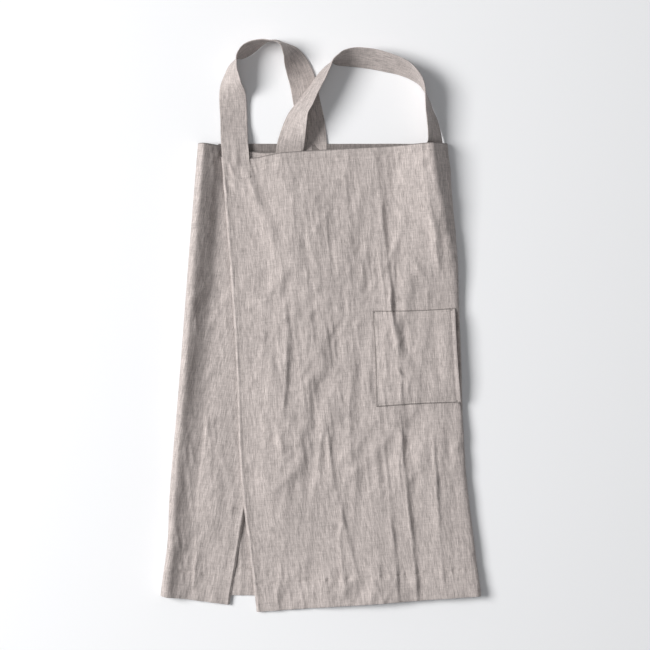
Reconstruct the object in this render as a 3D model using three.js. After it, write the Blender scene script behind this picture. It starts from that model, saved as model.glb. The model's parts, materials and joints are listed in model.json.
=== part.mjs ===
// Cross-back wrap apron of natural linen, as an artist wears it for a smock.
// It lies wrapped shut on a table with its back side up: one wide cloth, folded at both sides into a
// flat tube, with the outer flap over the inner flap, two crossing shoulder straps and a side-entry pocket.
//
// Millimetres. X runs across the apron, Y from the bottom hem to the straps, Z up from the table.
// The origin is the centre of the bounding box at table level.

import * as THREE from "three";
import { mergeVertices } from "three/addons/utils/BufferGeometryUtils.js";

// ---- Driving dimensions -------------------------------------------------------------------------

const CLOTH = 1.5; // thickness of a cloth solid
const HEM_CLOTH = 2.0; // thickness where the cloth is turned double
const SEAM_GAP = 0.3; // clearance between solids that are one cloth, or sewn together
const LAYER_STEP = 2.1; // height from one touching layer of cloth to the next

const TOP_Y = 307; // top edge of the front and top end of both folds
const BOTTOM_Y = -458; // bottom end of both folds
const FOLD_TOP_LEFT_X = -208;
const FOLD_TOP_RIGHT_X = 215;
const FOLD_BOTTOM_X = 272; // half the width at the bottom hem

const OUTER_FLAP_TOP = { x: -167.5, y: 286 }; // free corner of the outer flap, at the top
const OUTER_FLAP_BOTTOM = { x: -106, y: -486 };
const INNER_FLAP_TOP = { x: -29, y: 293 }; // free corner of the inner flap, at the top
const INNER_FLAP_BOTTOM = { x: -155.5, y: -474 };

const INNER_FLAP_Z = 10.75; // mid-height of the inner flap where it lies flat
const OUTER_FLAP_Z = INNER_FLAP_Z + 2 * LAYER_STEP;

const FOLD_FOOT = 34; // width of the cloth that each fold keeps on the table
const INNER_HINGE_Z = 9; // height of the line that each flap turns about, at its fold
const OUTER_HINGE_Z = 6.5;
const HINGE_INSET = CLOTH / 2;
const HINGE_CLEARANCE = 1.0; // room below the turning line for the flap's own thickness

const BOTTOM_HEM_DEPTH = 46;
const TOP_HEM_DEPTH = 16;
const SIDE_HEM_WIDTH = 15;

const STRAP_WIDTH = 46;
const STRAP_SEWN_LENGTH = 45;
const STRAP_JOINT_GAP = 1.0; // clearance between a strap's loop and its sewn ends, which meet at a twist
const STRAP_TURNS = 1.2; // mid-height of a strap edge that lies on the table

const POCKET = { left: 90, right: 231, top: 26, bottom: -136, slant: 8, rise: 6.2, hem: 16 };

const LINEN = 0xb0a7a1;
const LINEN_SHADE = 0xa79e98;
const LINEN_STRAP = 0xb6ada6;

// ---- Cloth solids -------------------------------------------------------------------------------

const lerp = THREE.MathUtils.lerp;
const smooth = (value, low, high) => THREE.MathUtils.smoothstep(value, low, high);

/**
 * Splits the quads of a box's underside along the same diagonals as those of its top, so that both
 * faces of a twisted sheet stay parallel.
 */
function alignDiagonals(geometry) {
  const underside = geometry.groups[5];
  const index = geometry.index;
  for (let i = underside.start; i < underside.start + underside.count; i += 6) {
    const [a, b, c, d] = [index.getX(i), index.getX(i + 1), index.getX(i + 4), index.getX(i + 2)];
    [a, b, c, a, c, d].forEach((vertex, k) => index.setX(i + k, vertex));
  }
}

/**
 * A closed sheet of even thickness. surface(u, v) gives the point of its middle layer, for u and v
 * from 0 to 1, and the sheet is a box of that many segments, bent to follow it.
 */
function sheetGeometry(surface, segmentsU, segmentsV, thickness) {
  const geometry = new THREE.BoxGeometry(1, 1, 1, segmentsU, segmentsV, 1);
  alignDiagonals(geometry);
  geometry.deleteAttribute("normal");
  geometry.deleteAttribute("uv");
  const position = geometry.attributes.position;
  const step = 1e-3;
  for (let i = 0; i < position.count; i += 1) {
    const u = position.getX(i) + 0.5;
    const v = position.getY(i) + 0.5;
    const alongU = surface(u + step, v).sub(surface(u - step, v));
    const alongV = surface(u, v + step).sub(surface(u, v - step));
    const offset = alongU.cross(alongV).setLength(position.getZ(i) * thickness || 1e-9);
    const point = surface(u, v).add(offset);
    position.setXYZ(i, point.x, point.y, point.z);
  }
  const closed = mergeVertices(geometry, 1e-4);
  closed.computeVertexNormals();
  return closed;
}

/** The part of a surface between two values of u and two of v, as a surface of its own. */
function portion(surface, [u0, u1], [v0, v1]) {
  return (u, v) => surface(lerp(u0, u1, u), lerp(v0, v1, v));
}

const apron = new THREE.Group();

/** Adds one named sheet of cloth to the apron. */
function addSheet(name, surface, [segmentsU, segmentsV], { thickness = CLOTH, color = LINEN } = {}) {
  const material = new THREE.MeshStandardMaterial({ color, roughness: 0.92, metalness: 0 });
  const mesh = new THREE.Mesh(sheetGeometry(surface, segmentsU, segmentsV, thickness), material);
  mesh.name = name;
  apron.add(mesh);
}

// ---- The body cloth -----------------------------------------------------------------------------
// On every layer of the body cloth, v runs from the top edge (0) to the bottom edge (1).

const BODY_LENGTH = TOP_Y - BOTTOM_Y;
const leftFoldX = (v) => lerp(FOLD_TOP_LEFT_X, -FOLD_BOTTOM_X, v);
const rightFoldX = (v) => lerp(FOLD_TOP_RIGHT_X, FOLD_BOTTOM_X, v);
const foldY = (v) => lerp(TOP_Y, BOTTOM_Y, v);

/** A point on a curve through [across, height] pairs, where t runs evenly from pair to pair. */
function profilePoint(profile, t) {
  const curve = new THREE.SplineCurve(profile.map(([across, height]) => new THREE.Vector2(across, height)));
  const clamped = THREE.MathUtils.clamp(t, 0, 1);
  const point = curve.getPoint(clamped);
  return point.add(curve.getTangent(clamped).multiplyScalar(t - clamped));
}

/** The front, flat on the table between the two folds. Thicker cloth stands higher from its underside. */
function frontSurface(thickness) {
  return (u, v) => {
    const left = leftFoldX(v) + FOLD_FOOT + SEAM_GAP;
    const right = rightFoldX(v) - FOLD_FOOT - SEAM_GAP;
    return new THREE.Vector3(lerp(left, right, u), foldY(v), thickness / 2);
  };
}

// The lower half of each fold stays on the table: [inset from the fold's outline, height].
const LEFT_FOLD_PROFILE = [
  [FOLD_FOOT, CLOTH / 2], [14, CLOTH / 2], [6, 1.7], [2, 4.6], [HINGE_INSET, INNER_HINGE_Z - HINGE_CLEARANCE],
];
const RIGHT_FOLD_PROFILE = [
  [FOLD_FOOT, CLOTH / 2], [12, CLOTH / 2], [5, 1.5], [1.7, 3.2], [HINGE_INSET, OUTER_HINGE_Z - HINGE_CLEARANCE],
];

function foldSurface(profile, foldX, inward) {
  return (u, v) => {
    const point = profilePoint(profile, u);
    return new THREE.Vector3(foldX(v) + inward * point.x, foldY(v), point.y);
  };
}

// The inner flap rolls over at the left fold, dips into a valley and then lies flat.
const INNER_ROLL = [
  [HINGE_INSET, INNER_HINGE_Z + 0.2], [2.6, 15.5], [9, 19.4], [17, 17.5], [28, 12.6], [41, INNER_FLAP_Z],
];

/** u runs from the left fold (0) to the inner flap's free edge (1). */
function innerFlapSurface(u, v) {
  const freeX = lerp(INNER_FLAP_TOP.x, INNER_FLAP_BOTTOM.x, v);
  const width = freeX - leftFoldX(v);
  const profile = [...INNER_ROLL, [lerp(41, width, 0.5), INNER_FLAP_Z], [width, INNER_FLAP_Z]];
  const point = profilePoint(profile, u);
  const across = point.x / width;
  const topY = lerp(TOP_Y, INNER_FLAP_TOP.y, across);
  const bottomY = lerp(BOTTOM_Y, INNER_FLAP_BOTTOM.y, across);
  return new THREE.Vector3(leftFoldX(v) + point.x, lerp(topY, bottomY, v), point.y);
}

// The outer flap stands up in a ridge beside the right fold at the top, and lies low further down.
const OUTER_RIDGE_TOP = [
  [HINGE_INSET, OUTER_HINGE_Z + 0.2], [6.5, 14.5], [14.5, 26], [24, 38.5], [31, 42.5], [43, 38],
  [62, 27], [86, 18], [108, OUTER_FLAP_Z],
];
const OUTER_RIDGE_LOW = [
  [HINGE_INSET, OUTER_HINGE_Z + 0.2], [1.6, 10.6], [4.2, 13.6], [9, OUTER_FLAP_Z], [16, OUTER_FLAP_Z],
  [30, OUTER_FLAP_Z], [50, OUTER_FLAP_Z], [76, OUTER_FLAP_Z], [108, OUTER_FLAP_Z],
];
const RIDGE_END = 0.34; // share of the length over which the ridge dies away

/** u runs from the right fold (0) to the outer flap's free edge (1). */
function outerFlapSurface(u, v) {
  const fade = smooth(v, 0, RIDGE_END);
  const freeX = lerp(OUTER_FLAP_TOP.x, OUTER_FLAP_BOTTOM.x, v);
  const width = rightFoldX(v) - freeX;
  const near = OUTER_RIDGE_TOP.map(([inset, height], i) => [
    lerp(inset, OUTER_RIDGE_LOW[i][0], fade), lerp(height, OUTER_RIDGE_LOW[i][1], fade),
  ]);
  const profile = [...near, [lerp(108, width, 0.5), OUTER_FLAP_Z], [width, OUTER_FLAP_Z]];
  const point = profilePoint(profile, u);
  const across = point.x / width;
  const topY = lerp(TOP_Y, OUTER_FLAP_TOP.y, across);
  const bottomY = lerp(BOTTOM_Y, OUTER_FLAP_BOTTOM.y, across);
  return new THREE.Vector3(rightFoldX(v) - point.x, lerp(topY, bottomY, v), point.y);
}

/** Cuts one layer of the body cloth into its plain cloth and its turned top, bottom and side hems. */
function addHemmedLayer(layer, surfaceFor, { segments, sideHemShare = 0, hasSideHem = false }) {
  const gap = SEAM_GAP / BODY_LENGTH;
  const topHem = TOP_HEM_DEPTH / BODY_LENGTH;
  const bottomHem = 1 - BOTTOM_HEM_DEPTH / BODY_LENGTH;
  const inner = hasSideHem ? 1 - sideHemShare : 1;
  const plain = surfaceFor(CLOTH);
  const turned = surfaceFor(HEM_CLOTH);
  const [across, along] = segments;
  const hem = { thickness: HEM_CLOTH, color: LINEN_SHADE };
  addSheet(`${layer}_panel`, portion(plain, [0, inner], [topHem + gap, bottomHem - gap]), [across, along]);
  addSheet(`${layer}_top_hem`, portion(turned, [0, 1], [0, topHem]), [across, 1], hem);
  addSheet(`${layer}_bottom_hem`, portion(turned, [0, 1], [bottomHem, 1]), [across, 1], hem);
  if (hasSideHem) {
    const edge = inner + sideHemShare * (SEAM_GAP / SIDE_HEM_WIDTH);
    const side = portion(turned, [edge, 1], [topHem + gap, bottomHem - gap]);
    addSheet(`${layer}_side_hem`, side, [1, along], hem);
  }
}

addHemmedLayer("front", frontSurface, { segments: [6, 6] });
addSheet("left_fold", foldSurface(LEFT_FOLD_PROFILE, leftFoldX, 1), [10, 6]);
addSheet("right_fold", foldSurface(RIGHT_FOLD_PROFILE, rightFoldX, -1), [10, 6]);

// The last span of a flap's profile is nearly straight, so its hem's share of u follows from its width.
const innerSpan = (INNER_FLAP_TOP.x - FOLD_TOP_LEFT_X - 41) / 2;
const outerSpan = (FOLD_TOP_RIGHT_X - OUTER_FLAP_TOP.x - 108) / 2;
addHemmedLayer("inner_flap", () => innerFlapSurface, {
  segments: [21, 8], hasSideHem: true, sideHemShare: SIDE_HEM_WIDTH / innerSpan / (INNER_ROLL.length + 1),
});
addHemmedLayer("outer_flap", () => outerFlapSurface, {
  segments: [30, 12], hasSideHem: true, sideHemShare: SIDE_HEM_WIDTH / outerSpan / (OUTER_RIDGE_TOP.length + 1),
});

// ---- The shoulder straps ------------------------------------------------------------------------
// A strap is a ribbon that stands on its low edge where it turns. Each station is a pair of points
// across it: its low edge, which lies on the outside of the loop, and its high edge.

const FRONT_STRAP_Z = HEM_CLOTH + SEAM_GAP + CLOTH / 2; // mid-height of a strap sewn to the front
const INNER_STRAP_Z = INNER_FLAP_Z + LAYER_STEP; // of the strap sewn to the inner flap
const OUTER_STRAP_Z = OUTER_FLAP_Z + LAYER_STEP; // of the strap sewn to the outer flap

const OUTER_STRAP_LOOP = [
  [[-167, 287, OUTER_STRAP_Z], [-121, 287, OUTER_STRAP_Z]],
  [[-169, 315, 12], [-123, 315, 13]],
  [[-170.5, 352, 4], [-124, 352, 7]],
  [[-171, 386, STRAP_TURNS], [-127, 390, 15]],
  [[-164.5, 416, STRAP_TURNS], [-134, 414, 36]],
  [[-155.5, 439, STRAP_TURNS], [-140, 433.5, 44]],
  [[-146, 449, STRAP_TURNS], [-140.5, 445, 46]],
  [[-138.5, 451.5, STRAP_TURNS], [-139.5, 455, 47]],
  [[-131, 453, STRAP_TURNS], [-135.5, 463, 46]],
  [[-121.5, 457.5, STRAP_TURNS], [-127.5, 470.5, 45]],
  [[-109.5, 466, STRAP_TURNS], [-115, 476.5, 45.5]],
  [[-98, 476.5, STRAP_TURNS], [-99.5, 478, 47]],
  [[-88.5, 483, STRAP_TURNS], [-86, 476.5, 46.5]],
  [[-78.5, 485, STRAP_TURNS], [-77.5, 475.5, 46]],
  [[-64, 480, STRAP_TURNS], [-70, 473, 46]],
  [[-46, 467.5, STRAP_TURNS], [-67, 464.5, 41]],
  [[-29, 452, STRAP_TURNS], [-63.5, 450, 30]],
  [[-16, 434.5, STRAP_TURNS], [-58, 428.5, 18]],
  [[-7.5, 413, STRAP_TURNS], [-51, 404, 9]],
  [[-1.5, 383, STRAP_TURNS], [-46, 376, 4]],
  [[5.5, 352, STRAP_TURNS], [-39.5, 347, 1.5]],
  [[9.5, 320, FRONT_STRAP_Z], [-36, 319, FRONT_STRAP_Z]],
  [[10.5, 309, FRONT_STRAP_Z], [-35.5, 309, FRONT_STRAP_Z]],
];

const INNER_STRAP_LOOP = [
  [[-75.5, 295, INNER_STRAP_Z], [-29.5, 295, INNER_STRAP_Z]],
  [[-70, 314, 12], [-26.5, 315, 25]],
  [[-62, 336.5, 10], [-23, 338.5, 34]],
  [[-51, 358, 8.5], [-19.5, 360, 41]],
  [[-37.5, 379, 7.5], [-11, 374.5, 44]],
  [[-23, 399, 6], [-3.5, 391.5, 46]],
  [[-11, 416.5, 4], [4, 407.5, 46]],
  [[-1, 429, 2], [11.5, 422.5, 46]],
  [[10.5, 440, STRAP_TURNS], [17.5, 436, 46.5]],
  [[21, 445, STRAP_TURNS], [22.5, 448, 47]],
  [[32, 441.5, STRAP_TURNS], [31, 457, 44]],
  [[45, 440, STRAP_TURNS], [45, 464, 40]],
  [[63.5, 438, STRAP_TURNS], [63.5, 467, 37]],
  [[85.5, 435, STRAP_TURNS], [87.5, 464.5, 36]],
  [[109.5, 430.5, STRAP_TURNS], [114, 457.5, 38]],
  [[131.5, 425.5, STRAP_TURNS], [138.5, 447, 41]],
  [[152, 418, STRAP_TURNS], [158, 432.5, 44]],
  [[166.5, 409, STRAP_TURNS], [170.5, 415.5, 46.5]],
  [[175.5, 398.5, STRAP_TURNS], [175, 399.5, 47]],
  [[184, 383.5, STRAP_TURNS], [176.5, 379.5, 46]],
  [[191, 364, STRAP_TURNS], [177, 361, 45]],
  [[199.5, 345, STRAP_TURNS], [179, 341, 42]],
  [[204, 326, 2.5], [181, 323.5, 40]],
  [[206, 309, 4.5], [181, 309, 38]],
];

/** The middle layer of a ribbon through its stations, kept to the strap's width all along. */
function ribbonSurface(stations) {
  const pairs = stations.map(([low, high]) => [new THREE.Vector3(...low), new THREE.Vector3(...high)]);
  const centres = pairs.map(([low, high]) => low.clone().add(high).multiplyScalar(0.5));
  const sides = pairs.map(([low, high]) => high.clone().sub(low).normalize());
  const centreLine = new THREE.CatmullRomCurve3(centres, false, "centripetal");
  const sideLine = new THREE.CatmullRomCurve3(sides, false, "catmullrom", 0.5);
  return (u, v) => {
    const along = THREE.MathUtils.clamp(v, 0, 1);
    const beyond = centreLine.getTangent(along).multiplyScalar(v - along);
    const side = sideLine.getPoint(along).setLength(STRAP_WIDTH * (u - 0.5) || 1e-9);
    return centreLine.getPoint(along).add(beyond).add(side);
  };
}

/** A strap's sewn end: flat stations from the end of its loop to its cut end. */
function addSewnEnd(name, stations, segments) {
  addSheet(name, ribbonSurface(stations), [1, segments], { color: LINEN_STRAP });
}

addSheet("outer_strap_loop", ribbonSurface(OUTER_STRAP_LOOP), [1, 88], { color: LINEN_STRAP });
addSheet("inner_strap_loop", ribbonSurface(INNER_STRAP_LOOP), [1, 92], { color: LINEN_STRAP });

const outerFreeSlope = (OUTER_FLAP_BOTTOM.x - OUTER_FLAP_TOP.x) / (OUTER_FLAP_BOTTOM.y - OUTER_FLAP_TOP.y);
const backEndShift = -STRAP_SEWN_LENGTH * outerFreeSlope;
addSewnEnd("outer_strap_back_end", [
  [[-167, 287 - STRAP_JOINT_GAP, OUTER_STRAP_Z], [-121, 287 - STRAP_JOINT_GAP, OUTER_STRAP_Z]],
  [[-167 + backEndShift, 287 - STRAP_SEWN_LENGTH, OUTER_STRAP_Z],
    [-121 + backEndShift, 287 - STRAP_SEWN_LENGTH, OUTER_STRAP_Z]],
], 2);
addSewnEnd("outer_strap_front_end", [
  [[10.5, 309 - STRAP_JOINT_GAP, FRONT_STRAP_Z], [-35.5, 309 - STRAP_JOINT_GAP, FRONT_STRAP_Z]],
  [[10.5, 309 - STRAP_SEWN_LENGTH, FRONT_STRAP_Z], [-35.5, 309 - STRAP_SEWN_LENGTH, FRONT_STRAP_Z]],
], 2);
addSewnEnd("inner_strap_back_end", [
  [[-75.5, 295 - STRAP_JOINT_GAP, INNER_STRAP_Z], [-29.5, 295 - STRAP_JOINT_GAP, INNER_STRAP_Z]],
  [[-77.5, 295 - STRAP_SEWN_LENGTH, INNER_STRAP_Z], [-31.5, 295 - STRAP_SEWN_LENGTH, INNER_STRAP_Z]],
], 2);
// This end leans against the ridge at the top edge and turns flat on to the front below it.
addSewnEnd("inner_strap_front_end", [
  [[206, 309 - STRAP_JOINT_GAP, 4.5], [181, 309 - STRAP_JOINT_GAP, 38]],
  [[206, 294, 4], [172, 294, 31]],
  [[205.5, 278, 3.5], [163, 278, 16]],
  [[205, 309 - STRAP_SEWN_LENGTH, FRONT_STRAP_Z], [160, 309 - STRAP_SEWN_LENGTH, FRONT_STRAP_Z]],
], 8);

// ---- The pocket ---------------------------------------------------------------------------------

/**
 * A patch on the outer flap, sewn down on three sides and open towards the right fold.
 * u runs from its left edge (0) to its mouth (1), v from its top (0) to its bottom (1).
 */
function pocketSurface(u, v) {
  const x = lerp(POCKET.left, POCKET.right, u) + POCKET.slant * v;
  const y = lerp(POCKET.top, POCKET.bottom, v) + 3 * u;
  const fullness = smooth(u, 0, 0.22) * smooth(v, 0, 0.14) * smooth(1 - v, 0, 0.14);
  return new THREE.Vector3(x, y, OUTER_STRAP_Z + POCKET.rise * fullness);
}

const pocketHemStart = 1 - POCKET.hem / (POCKET.right - POCKET.left);
const pocketGap = SEAM_GAP / (POCKET.right - POCKET.left);
addSheet("pocket_patch", portion(pocketSurface, [0, pocketHemStart - pocketGap], [0, 1]), [12, 16]);
addSheet("pocket_mouth_hem", portion(pocketSurface, [pocketHemStart, 1], [0, 1]), [2, 16], {
  thickness: HEM_CLOTH,
  color: LINEN_SHADE,
});

export default apron;
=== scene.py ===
"""A linen cross-back wrap apron, lying flat and wrapped shut on a pale table, back side up.

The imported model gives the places: the fold lines that the flaps turn about and the box of every part.
Each layer of cloth and the pocket is a sheet of its own with turned hems, each strap is a folded band,
and every stitch is a short length of thread.
"""

import json
import logging
import math
from dataclasses import dataclass, field
from enum import Enum
from typing import Callable, Sequence

import bmesh
import bpy
import numpy as np
from mathutils import Matrix, Vector


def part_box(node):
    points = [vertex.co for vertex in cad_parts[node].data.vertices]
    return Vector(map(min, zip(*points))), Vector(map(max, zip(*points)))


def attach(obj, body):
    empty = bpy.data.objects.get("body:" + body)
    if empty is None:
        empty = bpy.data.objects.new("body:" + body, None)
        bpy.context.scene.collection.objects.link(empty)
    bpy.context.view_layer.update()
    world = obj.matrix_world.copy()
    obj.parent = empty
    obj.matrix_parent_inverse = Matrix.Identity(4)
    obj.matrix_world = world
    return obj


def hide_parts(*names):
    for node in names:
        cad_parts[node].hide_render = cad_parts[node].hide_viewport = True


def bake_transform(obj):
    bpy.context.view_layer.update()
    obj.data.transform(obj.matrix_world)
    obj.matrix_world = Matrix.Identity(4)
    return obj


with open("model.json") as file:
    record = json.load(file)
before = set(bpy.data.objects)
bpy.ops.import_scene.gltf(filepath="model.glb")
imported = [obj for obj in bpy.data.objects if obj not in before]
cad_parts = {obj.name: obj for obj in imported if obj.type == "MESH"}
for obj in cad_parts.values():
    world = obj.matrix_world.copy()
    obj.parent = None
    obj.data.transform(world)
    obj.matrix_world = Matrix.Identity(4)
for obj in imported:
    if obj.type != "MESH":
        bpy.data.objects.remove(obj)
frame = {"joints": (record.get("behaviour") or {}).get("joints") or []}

LOG = logging.getLogger("apron")
CLOTH = 0.0005  # thickness of one layer of linen
STITCH_LIFT = 0.62 * CLOTH  # how far a stitch lies above the middle of the cloth
POCKET_HEIGHT = 0.1608
POCKET_CHART = 3.3  # where the pocket's cloth starts in the weave, well away from the body's
MOUTH_X = 0.2268  # the pocket's open side, at the pocket's top
MOUTH_SLANT = 0.0102  # how far that side has moved across by the pocket's bottom
MOUTH_TOP, MOUTH_LENGTH = 0.0278, 0.158  # where that side starts, along the apron, and its length

Array = np.ndarray
Point = tuple[float, float, float]


# ---- Small tools ---------------------------------------------------------------------------------


def smooth(value: Array, low: float, high: float) -> Array:
    """A value that rises smoothly from 0 at low to 1 at high."""
    t = np.clip((np.asarray(value, float) - low) / (high - low), 0.0, 1.0)
    return t * t * (3.0 - 2.0 * t)


def between(value: Array, rise: tuple[float, float], fall: tuple[float, float]) -> Array:
    """A value that rises smoothly from 0 to 1 over its rise, and goes back to 0 over its fall."""
    return smooth(value, *rise) * (1 - smooth(value, *fall))


def hump(value: Array, width: float) -> Array:
    """A bell of height 1 at 0, which has died away at about twice its width."""
    return np.exp(-((np.asarray(value, float) / width) ** 2))


def past(at: Array) -> Array:
    """How far a place lies before 0 (below zero) or beyond 1, and 0 between them."""
    return np.where(at < 0, at, np.maximum(at - 1, 0))


def running_sum(steps: Array) -> Array:
    """The total after each step, from 0 before the first."""
    return np.concatenate([[0.0], np.cumsum(steps)])


def distances(points: Array) -> Array:
    """How far along a line each of its points lies."""
    return running_sum(np.linalg.norm(np.diff(points, axis=0), axis=1))


def read_off(at: Array | float, run: Array, values: Array) -> Array:
    """Values of shape (n, 3) along a line, read off at distances along it."""
    return np.stack([np.interp(at, run, values[:, i]) for i in range(3)], axis=-1)


def spline(points: Array, t: Array) -> Array:
    """A Catmull-Rom curve.

    Args:
        points: Control values, of shape (..., n), or (n, k) when every sample shares them.
        t: Where to sample, from 0 to n - 1.

    Returns:
        The curve's values, one for each t.
    """
    count = points.shape[-1]
    t = np.clip(t, 0.0, count - 1.0)
    i = np.clip(np.floor(t).astype(int), 0, count - 2)
    f = t - i

    def take(k: Array) -> Array:
        """The control value at an index.

        Args:
            k: The indices, which may run past either end.

        Returns:
            The values.
        """
        k = np.clip(k, 0, count - 1)
        if points.ndim == 1:
            return points[k]
        return np.take_along_axis(points, k[..., None], axis=-1)[..., 0]

    p0, p1, p2, p3 = take(i - 1), take(i), take(i + 1), take(i + 2)
    return 0.5 * (
        2 * p1 + (p2 - p0) * f
        + (2 * p0 - 5 * p1 + 4 * p2 - p3) * f**2
        + (3 * p1 - p0 - 3 * p2 + p3) * f**3
    )


class PatchNoise:
    """Smooth noise on the plane, the same on every run."""

    def __init__(self, seed: int, size: int = 64) -> None:
        """Draws the lattice of random heights that the noise runs through."""
        self.size = size
        self.lattice = np.random.default_rng(seed).uniform(-1.0, 1.0, (size, size))

    def at(self, x: Array, y: Array) -> Array:
        """The noise at a place, from -1 to 1, where one unit is one cell of the lattice.

        Args:
            x: Places across the lattice.
            y: Places along it.

        Returns:
            The noise there.
        """
        ix, iy = np.floor(x).astype(int), np.floor(y).astype(int)
        fx, fy = smooth(x - ix, 0, 1), smooth(y - iy, 0, 1)

        def corner(dx: int, dy: int) -> Array:
            """The lattice's heights at one corner of each place's cell."""
            return self.lattice[(ix + dx) % self.size, (iy + dy) % self.size]

        lower = corner(0, 0) * (1 - fx) + corner(1, 0) * fx
        upper = corner(0, 1) * (1 - fx) + corner(1, 1) * fx
        return lower * (1 - fy) + upper * fy


# ---- The frame that the cloth hangs on -----------------------------------------------------------


@dataclass(frozen=True)
class FoldLine:
    """The straight line that a flap turns about, at one side fold of the body cloth."""

    x: float
    y: float
    z: float
    lean: float

    @staticmethod
    def of_joint(name: str) -> "FoldLine":
        """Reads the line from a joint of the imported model.

        Args:
            name: The joint's name.

        Returns:
            The line.
        """
        joint = next(j for j in frame["joints"] if j["name"] == name)
        x, y, z = joint["pos_m"]
        return FoldLine(x, y, z, joint["axis"][0] / joint["axis"][1])

    def x_at(self, y: Array) -> Array:
        """Where the line is, across the apron, at a place y along it."""
        return self.x + self.lean * (y - self.y)


def body_ends() -> tuple[float, float]:
    """The bottom and top ends of the folds."""
    low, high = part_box("left_fold")
    return low[1], high[1]


BODY_BOTTOM, BODY_TOP = body_ends()
BODY_LENGTH = BODY_TOP - BODY_BOTTOM
RIGHT_FOLD = FoldLine.of_joint("outer_flap_open")
LEFT_FOLD = FoldLine.of_joint("inner_flap_open")
FOLD_FOOT = 0.0335  # how far in from its turning line each fold's underside reaches


# ---- Meshes --------------------------------------------------------------------------------------


def mesh_of(bm: bmesh.types.BMesh, name: str) -> bpy.types.Mesh:
    """Turns a bmesh into a mesh, and frees it.

    Args:
        bm: The bmesh.
        name: The mesh's name.

    Returns:
        The mesh.
    """
    mesh = bpy.data.meshes.new(name)
    bm.to_mesh(mesh)
    bm.free()
    return mesh


def in_scene(name: str, data: bpy.types.ID) -> bpy.types.Object:
    """Puts a mesh, lamp or camera in the scene as an object.

    Args:
        name: The object's name.
        data: Its mesh, lamp or camera.

    Returns:
        The object.
    """
    made = bpy.data.objects.new(name, data)
    bpy.context.scene.collection.objects.link(made)
    return made


def shade_smooth(mesh: bpy.types.Mesh) -> None:
    """Shades every face of a mesh smooth."""
    mesh.polygons.foreach_set("use_smooth", np.ones(len(mesh.polygons), bool))


def report(piece: bpy.types.Object) -> None:
    """Logs a finished piece and how many faces it has."""
    LOG.info("%s: %d faces", piece.name, len(piece.data.polygons))


def grid_piece(name: str, u: Array, v: Array, place: Callable[[Array, Array], Array],
               chart: Callable[[Array, Array], tuple[Array, Array]],
               close_u: bool = False) -> bpy.types.Object:
    """Makes a piece from a flat grid whose points are carried to their places.

    Args:
        name: The piece's name.
        u: The grid's values across, one for each column of points.
        v: The grid's values along, one for each row of points.
        place: Gives the points in space for arrays of u and v, of shape (n, 3).
        chart: Gives the cloth's own flat coordinates in metres, for the weave.
        close_u: Whether the last column meets the first, as round a tube.

    Returns:
        The new object, with a UV map named cloth.
    """
    bm = bmesh.new()
    bmesh.ops.create_grid(bm, x_segments=len(u) - 1, y_segments=len(v) - 1, size=0.5)
    mesh = mesh_of(bm, name)
    flat = np.zeros(len(mesh.vertices) * 3, np.float32)
    mesh.vertices.foreach_get("co", flat)
    flat = flat.reshape(-1, 3)
    column = np.rint((flat[:, 0] + 0.5) * (len(u) - 1)).astype(int)
    row = np.rint((flat[:, 1] + 0.5) * (len(v) - 1)).astype(int)
    at_u, at_v = u[column], v[row]
    mesh.vertices.foreach_set("co", place(at_u, at_v).astype(np.float32).ravel())
    vertex_of_loop = np.zeros(len(mesh.loops), np.int32)
    mesh.loops.foreach_get("vertex_index", vertex_of_loop)
    uv = np.stack(chart(at_u, at_v), axis=1)[vertex_of_loop]
    mesh.uv_layers.new(name="cloth").data.foreach_set("uv", uv.astype(np.float32).ravel())
    shade_smooth(mesh)
    if close_u:
        bm = bmesh.new()
        bm.from_mesh(mesh)
        bmesh.ops.remove_doubles(bm, verts=bm.verts, dist=1e-6)
        rim = [e for e in bm.edges if e.is_boundary]
        bmesh.ops.holes_fill(bm, edges=rim, sides=0)
        bmesh.ops.recalc_face_normals(bm, faces=bm.faces)
        bm.to_mesh(mesh)
        bm.free()
    mesh.update()
    return in_scene(name, mesh)


def thicken(piece: bpy.types.Object, thickness: float) -> None:
    """Gives a sheet its thickness, half to each side.

    Args:
        piece: The sheet.
        thickness: The thickness of its cloth.
    """
    solid = piece.modifiers.new("cloth thickness", "SOLIDIFY")
    solid.thickness = thickness
    solid.offset = 0.0


# ---- Finishes ------------------------------------------------------------------------------------


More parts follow.
